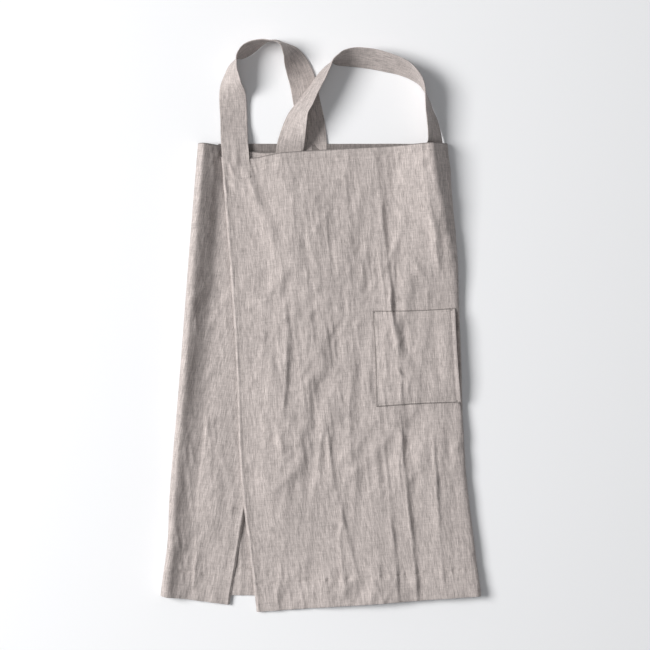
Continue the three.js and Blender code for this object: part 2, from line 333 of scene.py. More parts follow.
class Graph:
    """Builds a node tree with short calls."""

    def __init__(self, tree: bpy.types.NodeTree) -> None:
        """Starts on a tree and clears it."""
        self.tree = tree
        tree.nodes.clear()

    def node(self, kind: str, values: dict | None = None, **settings: object) -> bpy.types.Node:
        """Adds a node.

        Args:
            kind: The node's type name, without its ShaderNode prefix.
            values: Socket name or index to a constant, or to another node's output.
            settings: The node's own properties.

        Returns:
            The node.
        """
        made = self.tree.nodes.new(kind if kind.startswith("NodeGroup") else f"ShaderNode{kind}")
        for key, value in settings.items():
            setattr(made, key, value)
        for key, value in (values or {}).items():
            self.feed(made.inputs[key], value)
        return made

    def feed(self, socket: bpy.types.NodeSocket, value: object) -> None:
        """Links an output to a socket, or sets the socket's constant.

        Args:
            socket: The input.
            value: Another node's output, or a constant.
        """
        if isinstance(value, bpy.types.NodeSocket):
            self.tree.links.new(value, socket)
        else:
            socket.default_value = value

    def math(self, operation: str, *terms: object) -> bpy.types.NodeSocket:
        """The output of a math node on one to three terms.

        Args:
            operation: The node's operation.
            terms: Outputs or numbers, one for each input.

        Returns:
            The node's output.
        """
        return self.node("Math", dict(enumerate(terms)), operation=operation).outputs[0]

    def tint(self, colour: Point, shade: bpy.types.NodeSocket) -> bpy.types.NodeSocket:
        """A colour made lighter or darker by a shade."""
        return self.node("VectorMath", {0: colour, "Scale": shade}, operation="SCALE").outputs[0]

    def uneven(self, value: bpy.types.NodeSocket, amount: object) -> bpy.types.NodeSocket:
        """A value from 0 to 1 made a swing about 0, times an amount."""
        return self.math("MULTIPLY", self.math("SUBTRACT", value, 0.5), amount)

    def stretched_noise(self, chart: bpy.types.NodeSocket, scale: Point, detail: float,
                        rough: float = 0.5) -> bpy.types.NodeSocket:
        """Noise whose grain is longer one way than the other, as yarn is.

        Args:
            chart: The cloth's flat coordinates.
            scale: How fine the noise is each way.
            detail: How many finer octaves are added.
            rough: How strong each octave is against the last.

        Returns:
            The noise, from 0 to 1.
        """
        mapping = self.node("Mapping", {"Vector": chart, "Scale": scale})
        noise = self.node("TexNoise", {
            "Vector": mapping.outputs[0], "Scale": 1.0, "Detail": detail, "Roughness": rough})
        return noise.outputs["Fac"]


def new_group(name: str, inputs: Sequence[tuple[str, str, object]],
              outputs: Sequence[str]) -> tuple[Graph, bpy.types.Node, bpy.types.Node]:
    """Starts a shader node group with named sockets.

    Args:
        name: The group's name.
        inputs: Name, socket type and default of each input.
        outputs: Name of each output, a number.

    Returns:
        The group's graph, and its input and output nodes.
    """
    tree = bpy.data.node_groups.new(name, "ShaderNodeTree")
    for socket_name, kind, default in inputs:
        socket = tree.interface.new_socket(socket_name, in_out="INPUT", socket_type=f"NodeSocket{kind}")
        if default is not None:
            socket.default_value = default
    for socket_name in outputs:
        tree.interface.new_socket(socket_name, in_out="OUTPUT", socket_type="NodeSocketFloat")
    graph = Graph(tree)
    return graph, graph.node("NodeGroupInput"), graph.node("NodeGroupOutput")


def new_material(name: str) -> tuple[bpy.types.Material, Graph]:
    """Starts a material, and gives its graph.

    Args:
        name: The material's name.

    Returns:
        The material and its graph.
    """
    made = bpy.data.materials.new(name)
    made.use_nodes = True
    return made, Graph(made.node_tree)


@dataclass(frozen=True)
class PlainWeave:
    """The weave of linen: crossing threads, thick and thin yarn, and slubs that run along them."""

    warp_grain: Point = (660.0, 80.0, 1.0)
    weft_grain: Point = (62.0, 520.0, 1.0)
    slub_grain: Point = (520.0, 42.0, 1.0)
    warp_uneven: float = 1.25
    weft_uneven: float = 0.45
    slub_uneven: float = 0.35
    lengths: float = 75.0  # how many lengths of fibre of one tone follow each other in a metre
    stagger: float = 37.0  # the most lengths by which neighbouring threads are out of step
    thread_tones: tuple[float, float] = (0.45, 0.17)
    melange: float = 0.90
    threads_level: float = 0.6
    gap_shade: float = 0.22
    thread_height: float = 0.5
    slub_height: float = 0.9

    def threads(self, g: Graph, split: bpy.types.Node, count: bpy.types.NodeSocket) -> bpy.types.NodeSocket:
        """The height of the crossing threads.

        Args:
            g: The group's graph.
            split: The node that splits the cloth's flat coordinates.
            count: How many threads there are in a metre.

        Returns:
            The height.
        """
        turns = g.math("MULTIPLY", count, math.pi)
        across = g.math("SINE", g.math("MULTIPLY", split.outputs[0], turns))
        along = g.math("SINE", g.math("MULTIPLY", split.outputs[1], turns))
        warp, weft = g.math("ABSOLUTE", across), g.math("ABSOLUTE", along)
        over = g.math("MULTIPLY", g.math("MULTIPLY", across, along), g.math("SUBTRACT", warp, weft))
        return g.math("MULTIPLY_ADD", over, 0.5, g.math("MULTIPLY", g.math("ADD", warp, weft), 0.5))

    def tones(self, g: Graph, split: bpy.types.Node, count: bpy.types.NodeSocket) -> bpy.types.NodeSocket:
        """Each thread's own tone, which changes from one length of fibre to the next.

        Args:
            g: The group's graph.
            split: The node that splits the cloth's flat coordinates.
            count: How many threads there are in a metre.

        Returns:
            A swing of tone about 0.
        """
        swings = []
        for i, amount in enumerate(self.thread_tones):
            thread = g.math("FLOOR", g.math("MULTIPLY", split.outputs[i], count))
            shift = g.node("TexWhiteNoise", {"W": thread}, noise_dimensions="1D").outputs["Value"]
            run = g.math("FLOOR", g.math("ADD", g.math("MULTIPLY", split.outputs[1 - i], self.lengths),
                                         g.math("MULTIPLY", shift, self.stagger)))
            place = g.node("CombineXYZ", {0: thread, 1: run, 2: 5.0 * i})
            tone = g.node("TexWhiteNoise", {"Vector": place.outputs[0]}).outputs["Value"]
            swings.append(g.uneven(tone, amount))
        return g.math("ADD", *swings)

    def group(self) -> bpy.types.NodeTree:
        """Builds the weave's node group.

        Returns:
            The node group.
        """
        g, enter, leave = new_group(
            "plain linen weave",
            [("Chart", "Vector", None), ("Threads per metre", "Float", 1450.0), ("Slub", "Float", 1.0)],
            ["Height", "Shade", "Fuzz"])
        chart, count = enter.outputs["Chart"], enter.outputs["Threads per metre"]
        split = g.node("SeparateXYZ", {0: chart})
        threads = self.threads(g, split, count)
        warp_yarn = g.stretched_noise(chart, self.warp_grain, 3.0, 0.75)
        weft_yarn = g.stretched_noise(chart, self.weft_grain, 3.0, 0.7)
        fuzz = g.stretched_noise(chart, self.slub_grain, 1.0)
        slub = g.uneven(fuzz, enter.outputs["Slub"])
        yarn = g.math("ADD", g.uneven(warp_yarn, self.warp_uneven), g.uneven(weft_yarn, self.weft_uneven))
        melange = g.math("ADD", yarn, g.math("MULTIPLY", slub, self.slub_uneven))
        melange = g.math("MULTIPLY", g.math("ADD", melange, self.tones(g, split, count)), self.melange)
        # painted shade: the colour is darker in the gaps between the threads, where shade falls
        gap = g.math("MULTIPLY", g.math("SUBTRACT", threads, self.threads_level), self.gap_shade)
        crossing = g.math("MULTIPLY", threads, self.thread_height)
        g.feed(leave.inputs["Height"], g.math("MULTIPLY_ADD", slub, self.slub_height, crossing))
        g.feed(leave.inputs["Shade"], g.math("ADD", 1.0, g.math("ADD", gap, melange)))
        g.feed(leave.inputs["Fuzz"], fuzz)
        return g.tree


def washed_group() -> bpy.types.NodeTree:
    """Broad, faint unevenness of tone, as on linen that has been washed and not ironed.

    Returns:
        The node group.
    """
    g, enter, leave = new_group(
        "washed unevenness", [("Chart", "Vector", None), ("Amount", "Float", 1.0)], ["Shade"])
    broad = g.stretched_noise(enter.outputs["Chart"], (9.0, 5.0, 1.0), 3.0)
    g.feed(leave.inputs["Shade"], g.math("ADD", g.uneven(broad, enter.outputs["Amount"]), 1.0))
    return g.tree


@dataclass(frozen=True)
class PaintedRimShade:
    """Painted shade along the edges where a cut of cloth rolls under, in the cloth's own coordinates: the
    colour is darkened there to stand in for the shade in the gap at each edge.
    """

    left: float = -9.0  # past every piece, so there is none
    top: float = 0.0
    bottom: float = -9.0
    starts: float = 0.0003
    ends: float = 0.0014
    darkest: float = 0.5

    def shade(self, g: Graph, chart: bpy.types.NodeSocket) -> bpy.types.NodeSocket:
        """The painted shade along the rim.

        Args:
            g: The material's graph.
            chart: The cloth's flat coordinates.

        Returns:
            A factor from dark at the rim to 1 inside.
        """
        split = g.node("SeparateXYZ", {0: chart})
        from_left = g.math("SUBTRACT", split.outputs[0], self.left)
        from_top = g.math("SUBTRACT", self.top, split.outputs[1])
        from_bottom = g.math("SUBTRACT", split.outputs[1], self.bottom)
        nearest = g.math("MINIMUM", from_left, g.math("MINIMUM", from_top, from_bottom))
        ramp = g.node("MapRange", {"Value": nearest, "From Min": self.starts, "From Max": self.ends,
                                   "To Min": self.darkest, "To Max": 1.0})
        return ramp.outputs[0]


@dataclass(frozen=True)
class LinenFinish:
    """Undyed linen of one cut of the apron."""

    name: str
    slot: str
    uneven: float
    crumple: float  # how deep its fine crumples are
    # painted shade along the edges where the cloth rolls under, if any
    rim: PaintedRimShade | None = None
    colour: Point = (0.475, 0.42, 0.397)
    threads: float = 1450.0
    weave_depth: float = 0.00035
    smoothest: float = 0.78
    fuzz: float = 0.16

    def material(self, weave: bpy.types.NodeTree, washed: bpy.types.NodeTree) -> bpy.types.Material:
        """Builds the material.

        Args:
            weave: The weave's node group.
            washed: The group of broad unevenness.

        Returns:
            The finished material.
        """
        made, g = new_material(self.name)
        chart = g.node("UVMap", uv_map="cloth").outputs["UV"]
        cloth = g.node("Group", node_tree=weave)
        for key, value in (("Chart", chart), ("Threads per metre", self.threads), ("Slub", 1.0)):
            g.feed(cloth.inputs[key], value)
        wash = g.node("Group", node_tree=washed)
        for key, value in (("Chart", chart), ("Amount", self.uneven)):
            g.feed(wash.inputs[key], value)
        shade = g.math("MULTIPLY", cloth.outputs["Shade"], wash.outputs["Shade"])
        # painted shade: the colour is darkened along the rolled edges
        if self.rim:
            shade = g.math("MULTIPLY", shade, self.rim.shade(g, chart))
        fine = g.node("Bump", {
            "Height": cloth.outputs["Height"], "Strength": 0.35, "Distance": self.weave_depth})
        crumple = g.stretched_noise(chart, (150.0, 42.0, 1.0), 3.0, 0.55)
        soft = g.node("Bump", {
            "Height": crumple, "Strength": 0.6, "Distance": self.crumple, "Normal": fine.outputs[0]})
        shader = g.node("BsdfPrincipled", {
            "Base Color": g.tint(self.colour, shade), "Normal": soft.outputs[0],
            "Roughness": g.math("MULTIPLY_ADD", cloth.outputs["Fuzz"], self.fuzz, self.smoothest),
            "Sheen Weight": 0.12, "Sheen Roughness": 0.5, "Specular IOR Level": 0.2})
        g.node("OutputMaterial", {"Surface": shader.outputs[0]})
        return made


@dataclass(frozen=True)
class ThreadFinish:
    """The sewing thread, a little lighter than the linen."""

    name: str = "sewing_thread"
    colour: Point = (0.60, 0.545, 0.50)
    twists: float = 2600.0
    twist_depth: float = 0.0002

    def material(self) -> bpy.types.Material:
        """Builds the thread's material, with a fine twist on it.

        Returns:
            The finished material.
        """
        made, g = new_material(self.name)
        place = g.node("TexCoord").outputs["Object"]
        twist = g.node("TexNoise", {"Vector": place, "Scale": self.twists, "Detail": 1.0}).outputs["Fac"]
        bump = g.node("Bump", {"Height": twist, "Strength": 0.3, "Distance": self.twist_depth})
        shader = g.node("BsdfPrincipled", {
            "Base Color": g.tint(self.colour, g.math("MULTIPLY_ADD", twist, 0.5, 0.75)),
            "Roughness": 0.62, "Normal": bump.outputs[0], "Sheen Weight": 0.1})
        g.node("OutputMaterial", {"Surface": shader.outputs[0]})
        return made


class Cut(Enum):
    """The cuts of cloth that the apron is sewn from."""

    BODY = "body"
    STRAP = "strap"
    POCKET = "pocket"


class Finishes:
    """Every material of the apron, each built once."""

    def __init__(self) -> None:
        """Builds the shared groups and the materials that use them."""
        weave, washed = PlainWeave().group(), washed_group()
        # painted shade along the pocket's left, top and bottom edges
        pocket_rim_shade = PaintedRimShade(left=POCKET_CHART, bottom=-POCKET_HEIGHT)
        cuts = {
            # the body cloth gets painted shade along the top edges of the front and both flaps
            Cut.BODY: LinenFinish("linen_body", "body_linen", 0.10, 0.0012, PaintedRimShade()),
            Cut.STRAP: LinenFinish("linen_strap", "strap_linen", 0.05, 0.0004),
            Cut.POCKET: LinenFinish("linen_pocket", "pocket_linen", 0.07, 0.0012, pocket_rim_shade),
        }
        self.slots = {cut: finish.slot for cut, finish in cuts.items()}
        self.linen = {cut: finish.material(weave, washed) for cut, finish in cuts.items()}
        self.thread = ThreadFinish().material()

    def dress(self, piece: bpy.types.Object, cut: Cut) -> None:
        """Gives a piece of cloth its linen."""
        piece.data.materials.append(self.linen[cut])


# ---- Relief: what handling has pressed into the cloth --------------------------------------------


UNEVEN = PatchNoise(3)
# Wrinkles that run down the cloth: width, length, lean and height, with the broad swells first.
DOWNWARD = ((.055, .20, .08, .0040), (.023, .095, -.10, .0033), (.0105, .050, .12, .0017))
# Wrinkles that cross them: width, length, turn in radians and height.
SLANTING = ((.040, .075, .75, .0044), (.015, .045, .60, .0016))


@dataclass(frozen=True)
class Crease:
    """A pressed line that runs down the cloth, with its own slope on each side."""

    route: tuple[tuple[float, float], ...]
    height: float
    left: float
    right: float
    fade: float = 0.03
    wander: float = 0.0014
    ridge: float = 0.40
    ridge_width: float = 0.0022

    def at(self, x: Array, y: Array) -> Array:
        """The crease's height at a place.

        Args:
            x: Places across the apron.
            y: Places along it.

        Returns:
            The heights there.
        """
        xs, ys = np.array(self.route, float).T
        order, fade = np.argsort(ys), self.fade
        stray = self.wander * UNEVEN.at(y / 0.028, np.full_like(y, xs[0] * 300))
        off = x - np.interp(y, ys[order], xs[order]) - stray
        across = np.where(off < 0, hump(off, self.left), hump(off, self.right))
        ends = between(y, (ys.min() - fade, ys.min() + fade), (ys.max() - fade, ys.max() + fade))
        ridge = self.ridge * hump(off + 0.0006, self.ridge_width)
        strength = 0.92 + 0.75 * UNEVEN.at(y / 0.055 + 9.1, np.full_like(y, xs[0] * 200))
        return self.height * strength * (across + ridge) * ends


@dataclass(frozen=True)
class SoftFold:
    """A short soft fold from one point to another, which swells and dies away."""

    start: tuple[float, float]
    end: tuple[float, float]
    height: float
    width: float

    def at(self, x: Array, y: Array) -> Array:
        """The fold's height at a place.

        Args:
            x: Places across the apron.
            y: Places along it.

        Returns:
            The heights there.
        """
        a, b = np.array(self.start), np.array(self.end)
        d = b - a
        length = float(np.hypot(*d))
        along = ((x - a[0]) * d[0] + (y - a[1]) * d[1]) / length
        off = ((x - a[0]) * d[1] - (y - a[1]) * d[0]) / length
        swell = between(along, (-0.25 * length, 0.4 * length), (0.6 * length, 1.25 * length))
        return self.height * swell * hump(off, self.width)


@dataclass(frozen=True)
class Wrinkles:
    """Uneven ground of wrinkles that run down the cloth, and slanting ones that cross them."""

    seed: int
    amount: float = 1.0

    def at(self, x: Array, y: Array) -> Array:
        """The wrinkles' height at a place.

        Args:
            x: Places across the apron.
            y: Places along it.

        Returns:
            The heights there.
        """
        patch = PatchNoise(self.seed + 9).at(x / .11 + 3.1, y / .13 + 7.7)
        calm = 0.45 + 0.70 * smooth(patch, -0.30, 0.35)
        total = np.zeros_like(x)
        for i, (across, along, lean, height) in enumerate(DOWNWARD):
            n = PatchNoise(self.seed + i).at((x + lean * y) / across + 31.7, y / along + 17.3)
            total += height * (n if i == 0 else calm * (0.5 - np.abs(n)))
        for i, (across, along, turn, height) in enumerate(SLANTING):
            off, run = x * math.cos(turn) - y * math.sin(turn), x * math.sin(turn) + y * math.cos(turn)
            n = PatchNoise(self.seed + 5 + i).at(off / across + 11.1, run / along + 5.9)
            total += height * (0.5 - np.abs(n)) * smooth(patch, -0.45, 0.35)
        return total * self.amount


# ---- The body cloth ------------------------------------------------------------------------------


@dataclass(frozen=True)
class TurnedHem:
    """A hem turned to the inside: the cloth rolls round its edge and lies back under itself."""

    depth: float
    roll: float = 0.0006
    row_spacing: float = 0.008

    def offsets(self, beyond: Array) -> tuple[Array, Array]:
        """Where cloth lies that goes a distance beyond its edge.

        Args:
            beyond: How far past the edge the cloth would reach if it lay flat.

        Returns:
            How far outside the edge it lies, and its height over the outer face, which is never above 0.
        """
        turn = np.clip(beyond / self.roll, 0.0, math.pi)
        back = np.maximum(beyond - math.pi * self.roll, 0.0)
        out = np.where(beyond > 0, self.roll * np.sin(turn) - back, beyond)
        return out, -self.roll * (1.0 - np.cos(turn))

    def rows(self) -> list[float]:
        """The rows of cloth past the edge: close round the roll, wider along the hem.

        Returns:
            How far past the edge each row is, in metres.
        """
        around = [self.roll * math.pi * k / 4 for k in range(1, 5)]
        count = max(2, round(self.depth / self.row_spacing))
        return around + [around[-1] + self.depth * k / count for k in range(1, count + 1)]


def round_hems(at: Array, before: TurnedHem, after: TurnedHem, length: float) -> tuple[Array, Array]:
    """Carries cloth that goes past either end of a sheet round the hem there.

    Args:
        at: Places from 0 to 1, and outside that in metres.
        before: The hem at 0.
        after: The hem at 1.
        length: How far 0 is from 1.

    Returns:
        The places from 0 to 1 that the cloth lies under, and its height over the outer face there.
    """
    out_before, in_before = before.offsets(np.maximum(-at, 0.0))
    out_after, in_after = after.offsets(np.maximum(at - 1.0, 0.0))
    free = np.where(at < 0, -out_before / length, np.where(at > 1, 1 + out_after / length, at))
    return free, in_before + in_after


def with_hems(between_hems: Array, before: TurnedHem, after: TurnedHem) -> Array:
    """A sheet's rows from 0 to 1, with the rows of the hems at both ends added, in metres."""
    return np.concatenate([-np.array(before.rows())[::-1], between_hems, 1.0 + np.array(after.rows())])


HEM_PUCKERS = PatchNoise(5)
HEM_STEP = 0.0008  # how far the doubled cloth of a hem stands out
GROOVE = 0.0019  # how deep a line of stitching pulls the cloth in
RIPPLE = 0.0013  # how high the ripples are that it draws in the cloth beside it
TOP_HEM, BOTTOM_HEM, SIDE_HEM = TurnedHem(0.016), TurnedHem(0.046), TurnedHem(0.015)
Profile = tuple[tuple[float, float], ...]


@dataclass
class ClothLayer:
    """One layer of the body cloth, as a surface with turned hems.

    Across, a layer is drawn as a profile of inset from its fold and height, at the top edge and
    further down. Along, it runs from the top edge (0) to the bottom edge (1).
    """

    flap: str
    fold: FoldLine
    inward: float
    profile_top: Profile
    profile_low: Profile
    ridge_end: float
    free_top: tuple[float, float]
    free_bottom: tuple[float, float]
    relief: Callable[[Array, Array], Array]
    settle: Callable[[Array, Array, Array], Array]
    fold_bow: Callable[[Array], Array]
    top_dip: Callable[[Array], Array]
    edge_bow: Callable[[Array], Array] = np.zeros_like
    least: float = 0.0051  # the least height of the upper layer, above what stays behind as it opens
    floor_softness: float = 0.0014
    crest_inset: float = 0.0155  # how far in the crest lies, where the mesh is finer, as at the free edge
    finer_by: float = 1.3

    @property
    def spans(self) -> int:
        """How many spans the profile has, with the three that run on to the free edge."""
        return len(self.profile_top) + 2

    def line_y(self, v: Array) -> Array:
        """The place along the fold of each v."""
        return BODY_TOP + (BODY_BOTTOM - BODY_TOP) * v

    def fold_x(self, y: Array) -> Array:
        """The fold's outline, across the apron, at a place along it."""
        return self.fold.x_at(y) + self.fold_bow(y)

    def width_at(self, v: Array) -> Array:
        """The distance from the fold's outline to the free edge.

        Args:
            v: From the top edge (0) to the bottom edge (1).

        Returns:
            The distances.
        """
        y = self.line_y(v)
        free = self.free_top[0] + (self.free_bottom[0] - self.free_top[0]) * v
        return (free + self.edge_bow(y) - self.fold_x(y)) * self.inward

    def section(self, u: Array, v: Array) -> tuple[Array, Array]:
        """Inset and height of the layer's profile.

        Args:
            u: From the start under the fold (0) to the free edge (1). It may run on past 1.
            v: From the top edge (0) to the bottom edge (1).

        Returns:
            Inset from the fold's outline, and height.
        """
        fade = smooth(v, 0.0, self.ridge_end)[..., None, None]
        top, low = np.array(self.profile_top), np.array(self.profile_low)
        width = self.width_at(v)[..., None]
        control = top + (low - top) * fade
        inset, height = control[..., 0], control[..., 1]
        last, level = inset[..., -1:], height[..., -1:]
        inset = np.concatenate([inset] + [last + (width - last) * k for k in (1 / 3, 2 / 3, 1.0)], axis=-1)
        height = np.concatenate([height] + [level] * 3, axis=-1)
        t = np.clip(u, 0.0, 1.0) * self.spans
        return spline(inset, t) + np.maximum(u - 1.0, 0.0) * width[..., 0], spline(height, t)

    def ends(self, across: Array, x: Array) -> tuple[Array, Array]:
        """Where the top and bottom edges lie, a share of the way across the layer."""
        top = BODY_TOP + (self.free_top[1] - BODY_TOP) * across - self.top_dip(x)
        return top, BODY_BOTTOM + (self.free_bottom[1] - BODY_BOTTOM) * across

    def base(self, u: Array, v: Array) -> Array:
        """The smooth layer, with no relief, as points of shape (..., 3).

        Args:
            u: From the start under the fold (0) to the free edge (1).
            v: From the top edge (0) to the bottom edge (1).

        Returns:
            The points.
        """
        inset, height = self.section(u, v)
        x = self.fold_x(self.line_y(v)) + self.inward * inset
        top, bottom = self.ends(inset / self.width_at(v), x)
        y = top + (bottom - top) * v
        return np.stack([x, y, height + self.settle(x, y, v)], axis=-1)

    def normals(self, u: Array, v: Array, step: float = 2e-4) -> Array:
        """Unit normals of the smooth layer, pointing out of the apron.

        Args:
            u: From the start under the fold (0) to the free edge (1).
            v: From the top edge (0) to the bottom edge (1).
            step: How far apart the points are that the slopes are taken from.

        Returns:
            The normals.
        """
        along_u = self.base(u + step, v) - self.base(u - step, v)
        along_v = self.base(u, v + step) - self.base(u, v - step)
        n = np.cross(along_u, along_v) * -self.inward
        return n / np.linalg.norm(n, axis=-1, keepdims=True)

    def surface(self, u: Array, v: Array, lift: Array | float = 0.0) -> Array:
        """The finished outer face, raised along its normal by lift.

        Args:
            u: From the start under the fold (0) to the free edge (1).
            v: From the top edge (0) to the bottom edge (1).
            lift: How far to raise each point.

        Returns:
            Points of shape (..., 3).
        """
        points, n = self.base(u, v), self.normals(u, v)
        facing = smooth(n[..., 2], 0.15, 0.8)
        raised = (self.relief(points[..., 0], points[..., 1]) + self.hem_marks(u, v)) * facing
        face = points + n * raised[..., None]
        above = face[..., 2] - self.least
        on_top = u * self.spans > self.turn_point
        kept = self.least + (above + np.sqrt(above ** 2 + self.floor_softness ** 2)) / 2
        face[..., 2] = np.where(on_top, kept, face[..., 2])
        return face + n * np.asarray(lift)[..., None]

    def hem_marks(self, u: Array, v: Array) -> Array:
        """The doubled cloth's step, the rolled free edge, and the groove and puckers along each seam.

        Args:
            u: From the start under the fold (0) to the free edge (1).
            v: From the top edge (0) to the bottom edge (1).

        Returns:
            How far the cloth stands out there.
        """
        inset, _ = self.section(u, v)
        from_side = self.width_at(v) - inset
        from_top, from_bottom = v * BODY_LENGTH, (1 - v) * BODY_LENGTH
        marks = np.zeros_like(u)
        for away, hem, run in ((from_side, SIDE_HEM, from_top), (from_top, TOP_HEM, inset),
                               (from_bottom, BOTTOM_HEM, inset)):
            doubled = 1 - smooth(away, hem.depth - 0.0005, hem.depth + 0.0035)
            pucker = 0.6 + 0.6 * HEM_PUCKERS.at(run / 0.006, away / 0.012 + 3.0)
            groove = hump(away - hem.depth + 0.0012, 0.0026)
            ripple = HEM_PUCKERS.at(run / 0.0055 + 40.0, away / 0.020) * hump(away - hem.depth, 0.008)
            marks = np.maximum(marks, HEM_STEP * doubled) - GROOVE * groove * pucker + RIPPLE * ripple
        rolled = 0.0012 * hump(from_side - 0.0026, 0.0030) - 0.0016 * (1 - smooth(from_side, 0.0, 0.0026))
        return marks + rolled

    def hemmed(self, u: Array, v: Array) -> Array:
        """The cloth with its hems, for u past 1 and v outside 0 to 1, both counted in metres there.

        Args:
            u: Places across the grid.
            v: Places along it.

        Returns:
            Points of shape (..., 3).
        """
        out_u, in_u = SIDE_HEM.offsets(np.maximum(u - 1.0, 0.0))
        free_v, in_v = round_hems(v, TOP_HEM, BOTTOM_HEM, BODY_LENGTH)
        inside_v = np.clip(v, 0, 1)
        free_u = np.where(u > 1.0, self.u_at(self.width_at(inside_v) + out_u, inside_v), u)
        return self.surface(free_u, free_v, in_u + in_v)

    def u_at(self, inset: Array, v: Array) -> Array:
        """Which u lies at an inset from the fold, beyond the profile's last drawn point.

        Args:
            inset: The distance from the fold's outline.
            v: From the top edge (0) to the bottom edge (1).

        Returns:
            The values of u.
        """
        drawn = len(self.profile_top) - 1
        fade = smooth(v, 0.0, self.ridge_end)
        last = self.profile_top[-1][0] + (self.profile_low[-1][0] - self.profile_top[-1][0]) * fade
        width = self.width_at(v)
        share = (inset - last) / (width - last)
        return np.where(share <= 1.0, (drawn + 3.0 * share) / self.spans, 1.0 + (inset / width - 1.0))

    def columns(self, step: float) -> Array:
        """Values of u about a step apart on the cloth, as it lies a quarter of the way down.

        Args:
            step: The spacing.

        Returns:
            The values, from 0 to 1, closer on the crest and at the free edge.
        """
        u = np.linspace(0.0, 1.0, 4000)
        inset, height = self.section(u, np.full_like(u, 0.25))
        run = running_sum(np.hypot(np.diff(inset), np.diff(height)))
        crest = hump(inset - self.crest_inset, 0.008) * (height > 0.006)
        finer = 1.0 + self.finer_by * (crest + hump(run - run[-1], 0.007))
        run = running_sum(np.diff(run) * finer[1:])
        count = round(run[-1] / step)
        return np.interp(np.linspace(0.0, run[-1], count + 1), run, u)

    def chart(self, u: Array, v: Array) -> tuple[Array, Array]:
        """The cloth's own coordinates: distance from the free edge, and from the top.

        Args:
            u: Places across the grid.
            v: Places along it.

        Returns:
            Both coordinates, in metres.
        """
        flat_u, flat_v = np.clip(u, 0, 1), np.clip(v, 0, 1)
        inset, _ = self.section(flat_u, flat_v)
        distance = np.where(flat_u * self.spans < self.turn_point, -inset, inset)
        x = (self.width_at(flat_v) - distance + past(u)) * -self.inward
        return x, -(flat_v * BODY_LENGTH + past(v))

    def height_at(self, x: Array, y: Array) -> Array:
        """How high the layer's outer face stands above a place on the table.

        Args:
            x: Places across the apron.
            y: Places along it.

        Returns:
            The heights there.
        """
        v = (BODY_TOP - y) / BODY_LENGTH
        for _ in range(5):  # the edges aren't quite level, so v is refined
            inset = (x - self.fold_x(self.line_y(v))) * self.inward
            top, bottom = self.ends(inset / self.width_at(v), x)
            v = (top - y) / (top - bottom)
        low, high = np.full_like(x, self.turn_point / self.spans), np.ones_like(x)
        for _ in range(18):  # halves the span of u until it is found
            middle = (low + high) / 2
            short = self.section(middle, v)[0] < inset
            low, high = np.where(short, middle, low), np.where(short, high, middle)
        return self.surface((low + high) / 2, v)[..., 2]

    @property
    def turn_point(self) -> float:
        """The place in the profile where the cloth goes round the fold's outline."""
        return float(np.argmin([p[0] for p in self.profile_top]))

    def build(self, across: float, along: float) -> bpy.types.Object:
        """Makes the layer's mesh.

        Args:
            across: The mesh's spacing across the cloth.
            along: Its spacing down the cloth, where the creases run.

        Returns:
            The piece, with its hems turned in and its thickness given.
        """
        u = np.concatenate([self.columns(across), 1.0 + np.array(SIDE_HEM.rows())])
        v = np.linspace(0.0, 1.0, round(BODY_LENGTH / along) + 1)
        near = np.linspace(-0.004, 0.004, 7) / BODY_LENGTH
        top, bottom = TOP_HEM.depth / BODY_LENGTH, 1 - BOTTOM_HEM.depth / BODY_LENGTH
        v = np.unique(np.concatenate([v, top + near, bottom + near]).round(6))
        v = with_hems(v, TOP_HEM, BOTTOM_HEM)
        piece = grid_piece(f"{self.flap}_cloth", u, v, self.hemmed, self.chart)
        if self.inward < 0:
            piece.data.flip_normals()
        thicken(piece, CLOTH)
        return piece


# ---- Stitches ------------------------------------------------------------------------------------


@dataclass
class Seam:
    """A run of machine stitches, each a short length of thread that dips in at both ends."""

    pitch: float = 0.0036
    stitch: float = 0.0027
    thread: float = 0.00055
    rows: list[tuple[Array, Array]] = field(default_factory=list)

    def run(self, points: Array, normals: Array) -> None:
        """Adds one line of stitches along points on a face, with the face's normals."""
        self.rows.append((points, normals))

    def template(self) -> bpy.types.Mesh:
        """One stitch, lying along X.

        Returns:
            Its mesh.
        """
        bm = bmesh.new()
        bmesh.ops.create_uvsphere(bm, u_segments=6, v_segments=4, radius=0.5)
        bmesh.ops.rotate(bm, verts=bm.verts, matrix=Matrix.Rotation(math.pi / 2, 3, "Y"))
        bmesh.ops.scale(bm, verts=bm.verts, vec=(self.stitch, self.thread, self.thread))
        return mesh_of(bm, "stitch")

    def build(self, name: str, finishes: Finishes) -> bpy.types.Object:
        """Lays all the stitches and joins them into one piece.

        Args:
            name: The piece's name.
            finishes: The apron's materials.

        Returns:
            The piece.
        """
        template = self.template()
        bm = bmesh.new()
        for points, normals in self.rows:
            run = distances(points)
            count = int(run[-1] / self.pitch)
            for k in range(count):
                middle = (k + 0.5) * run[-1] / count
                ends = [middle - self.stitch / 2, middle, middle + self.stitch / 2]
                p = read_off(ends, run, points)
                along = Vector(p[2] - p[0]).normalized()
                side = Vector(read_off(middle, run, normals)).cross(along).normalized()
                place = Matrix((along, side, along.cross(side))).transposed().to_4x4()
                place.translation = Vector(p[1])
                first = len(bm.verts)
                bm.from_mesh(template)
                bm.verts.ensure_lookup_table()
                bmesh.ops.transform(bm, matrix=place, verts=bm.verts[first:])
        mesh = mesh_of(bm, name)
        shade_smooth(mesh)
        mesh.materials.append(finishes.thread)
        bpy.data.meshes.remove(template)
        return in_scene(name, mesh)


# ---- The apron's own shape -----------------------------------------------------------------------


def left_bow(y: Array) -> Array:
    """The left fold's outline against its straight turning line."""
    return 0.0020 * hump(y + 0.13, 0.20) + 0.0044 * hump(y + 0.37, 0.06)


def right_bow(y: Array) -> Array:
    """The right fold's outline against its straight turning line."""
    return -0.0100 * hump(y + 0.225, 0.165) + 0.0012 * hump(y - 0.12, 0.07)


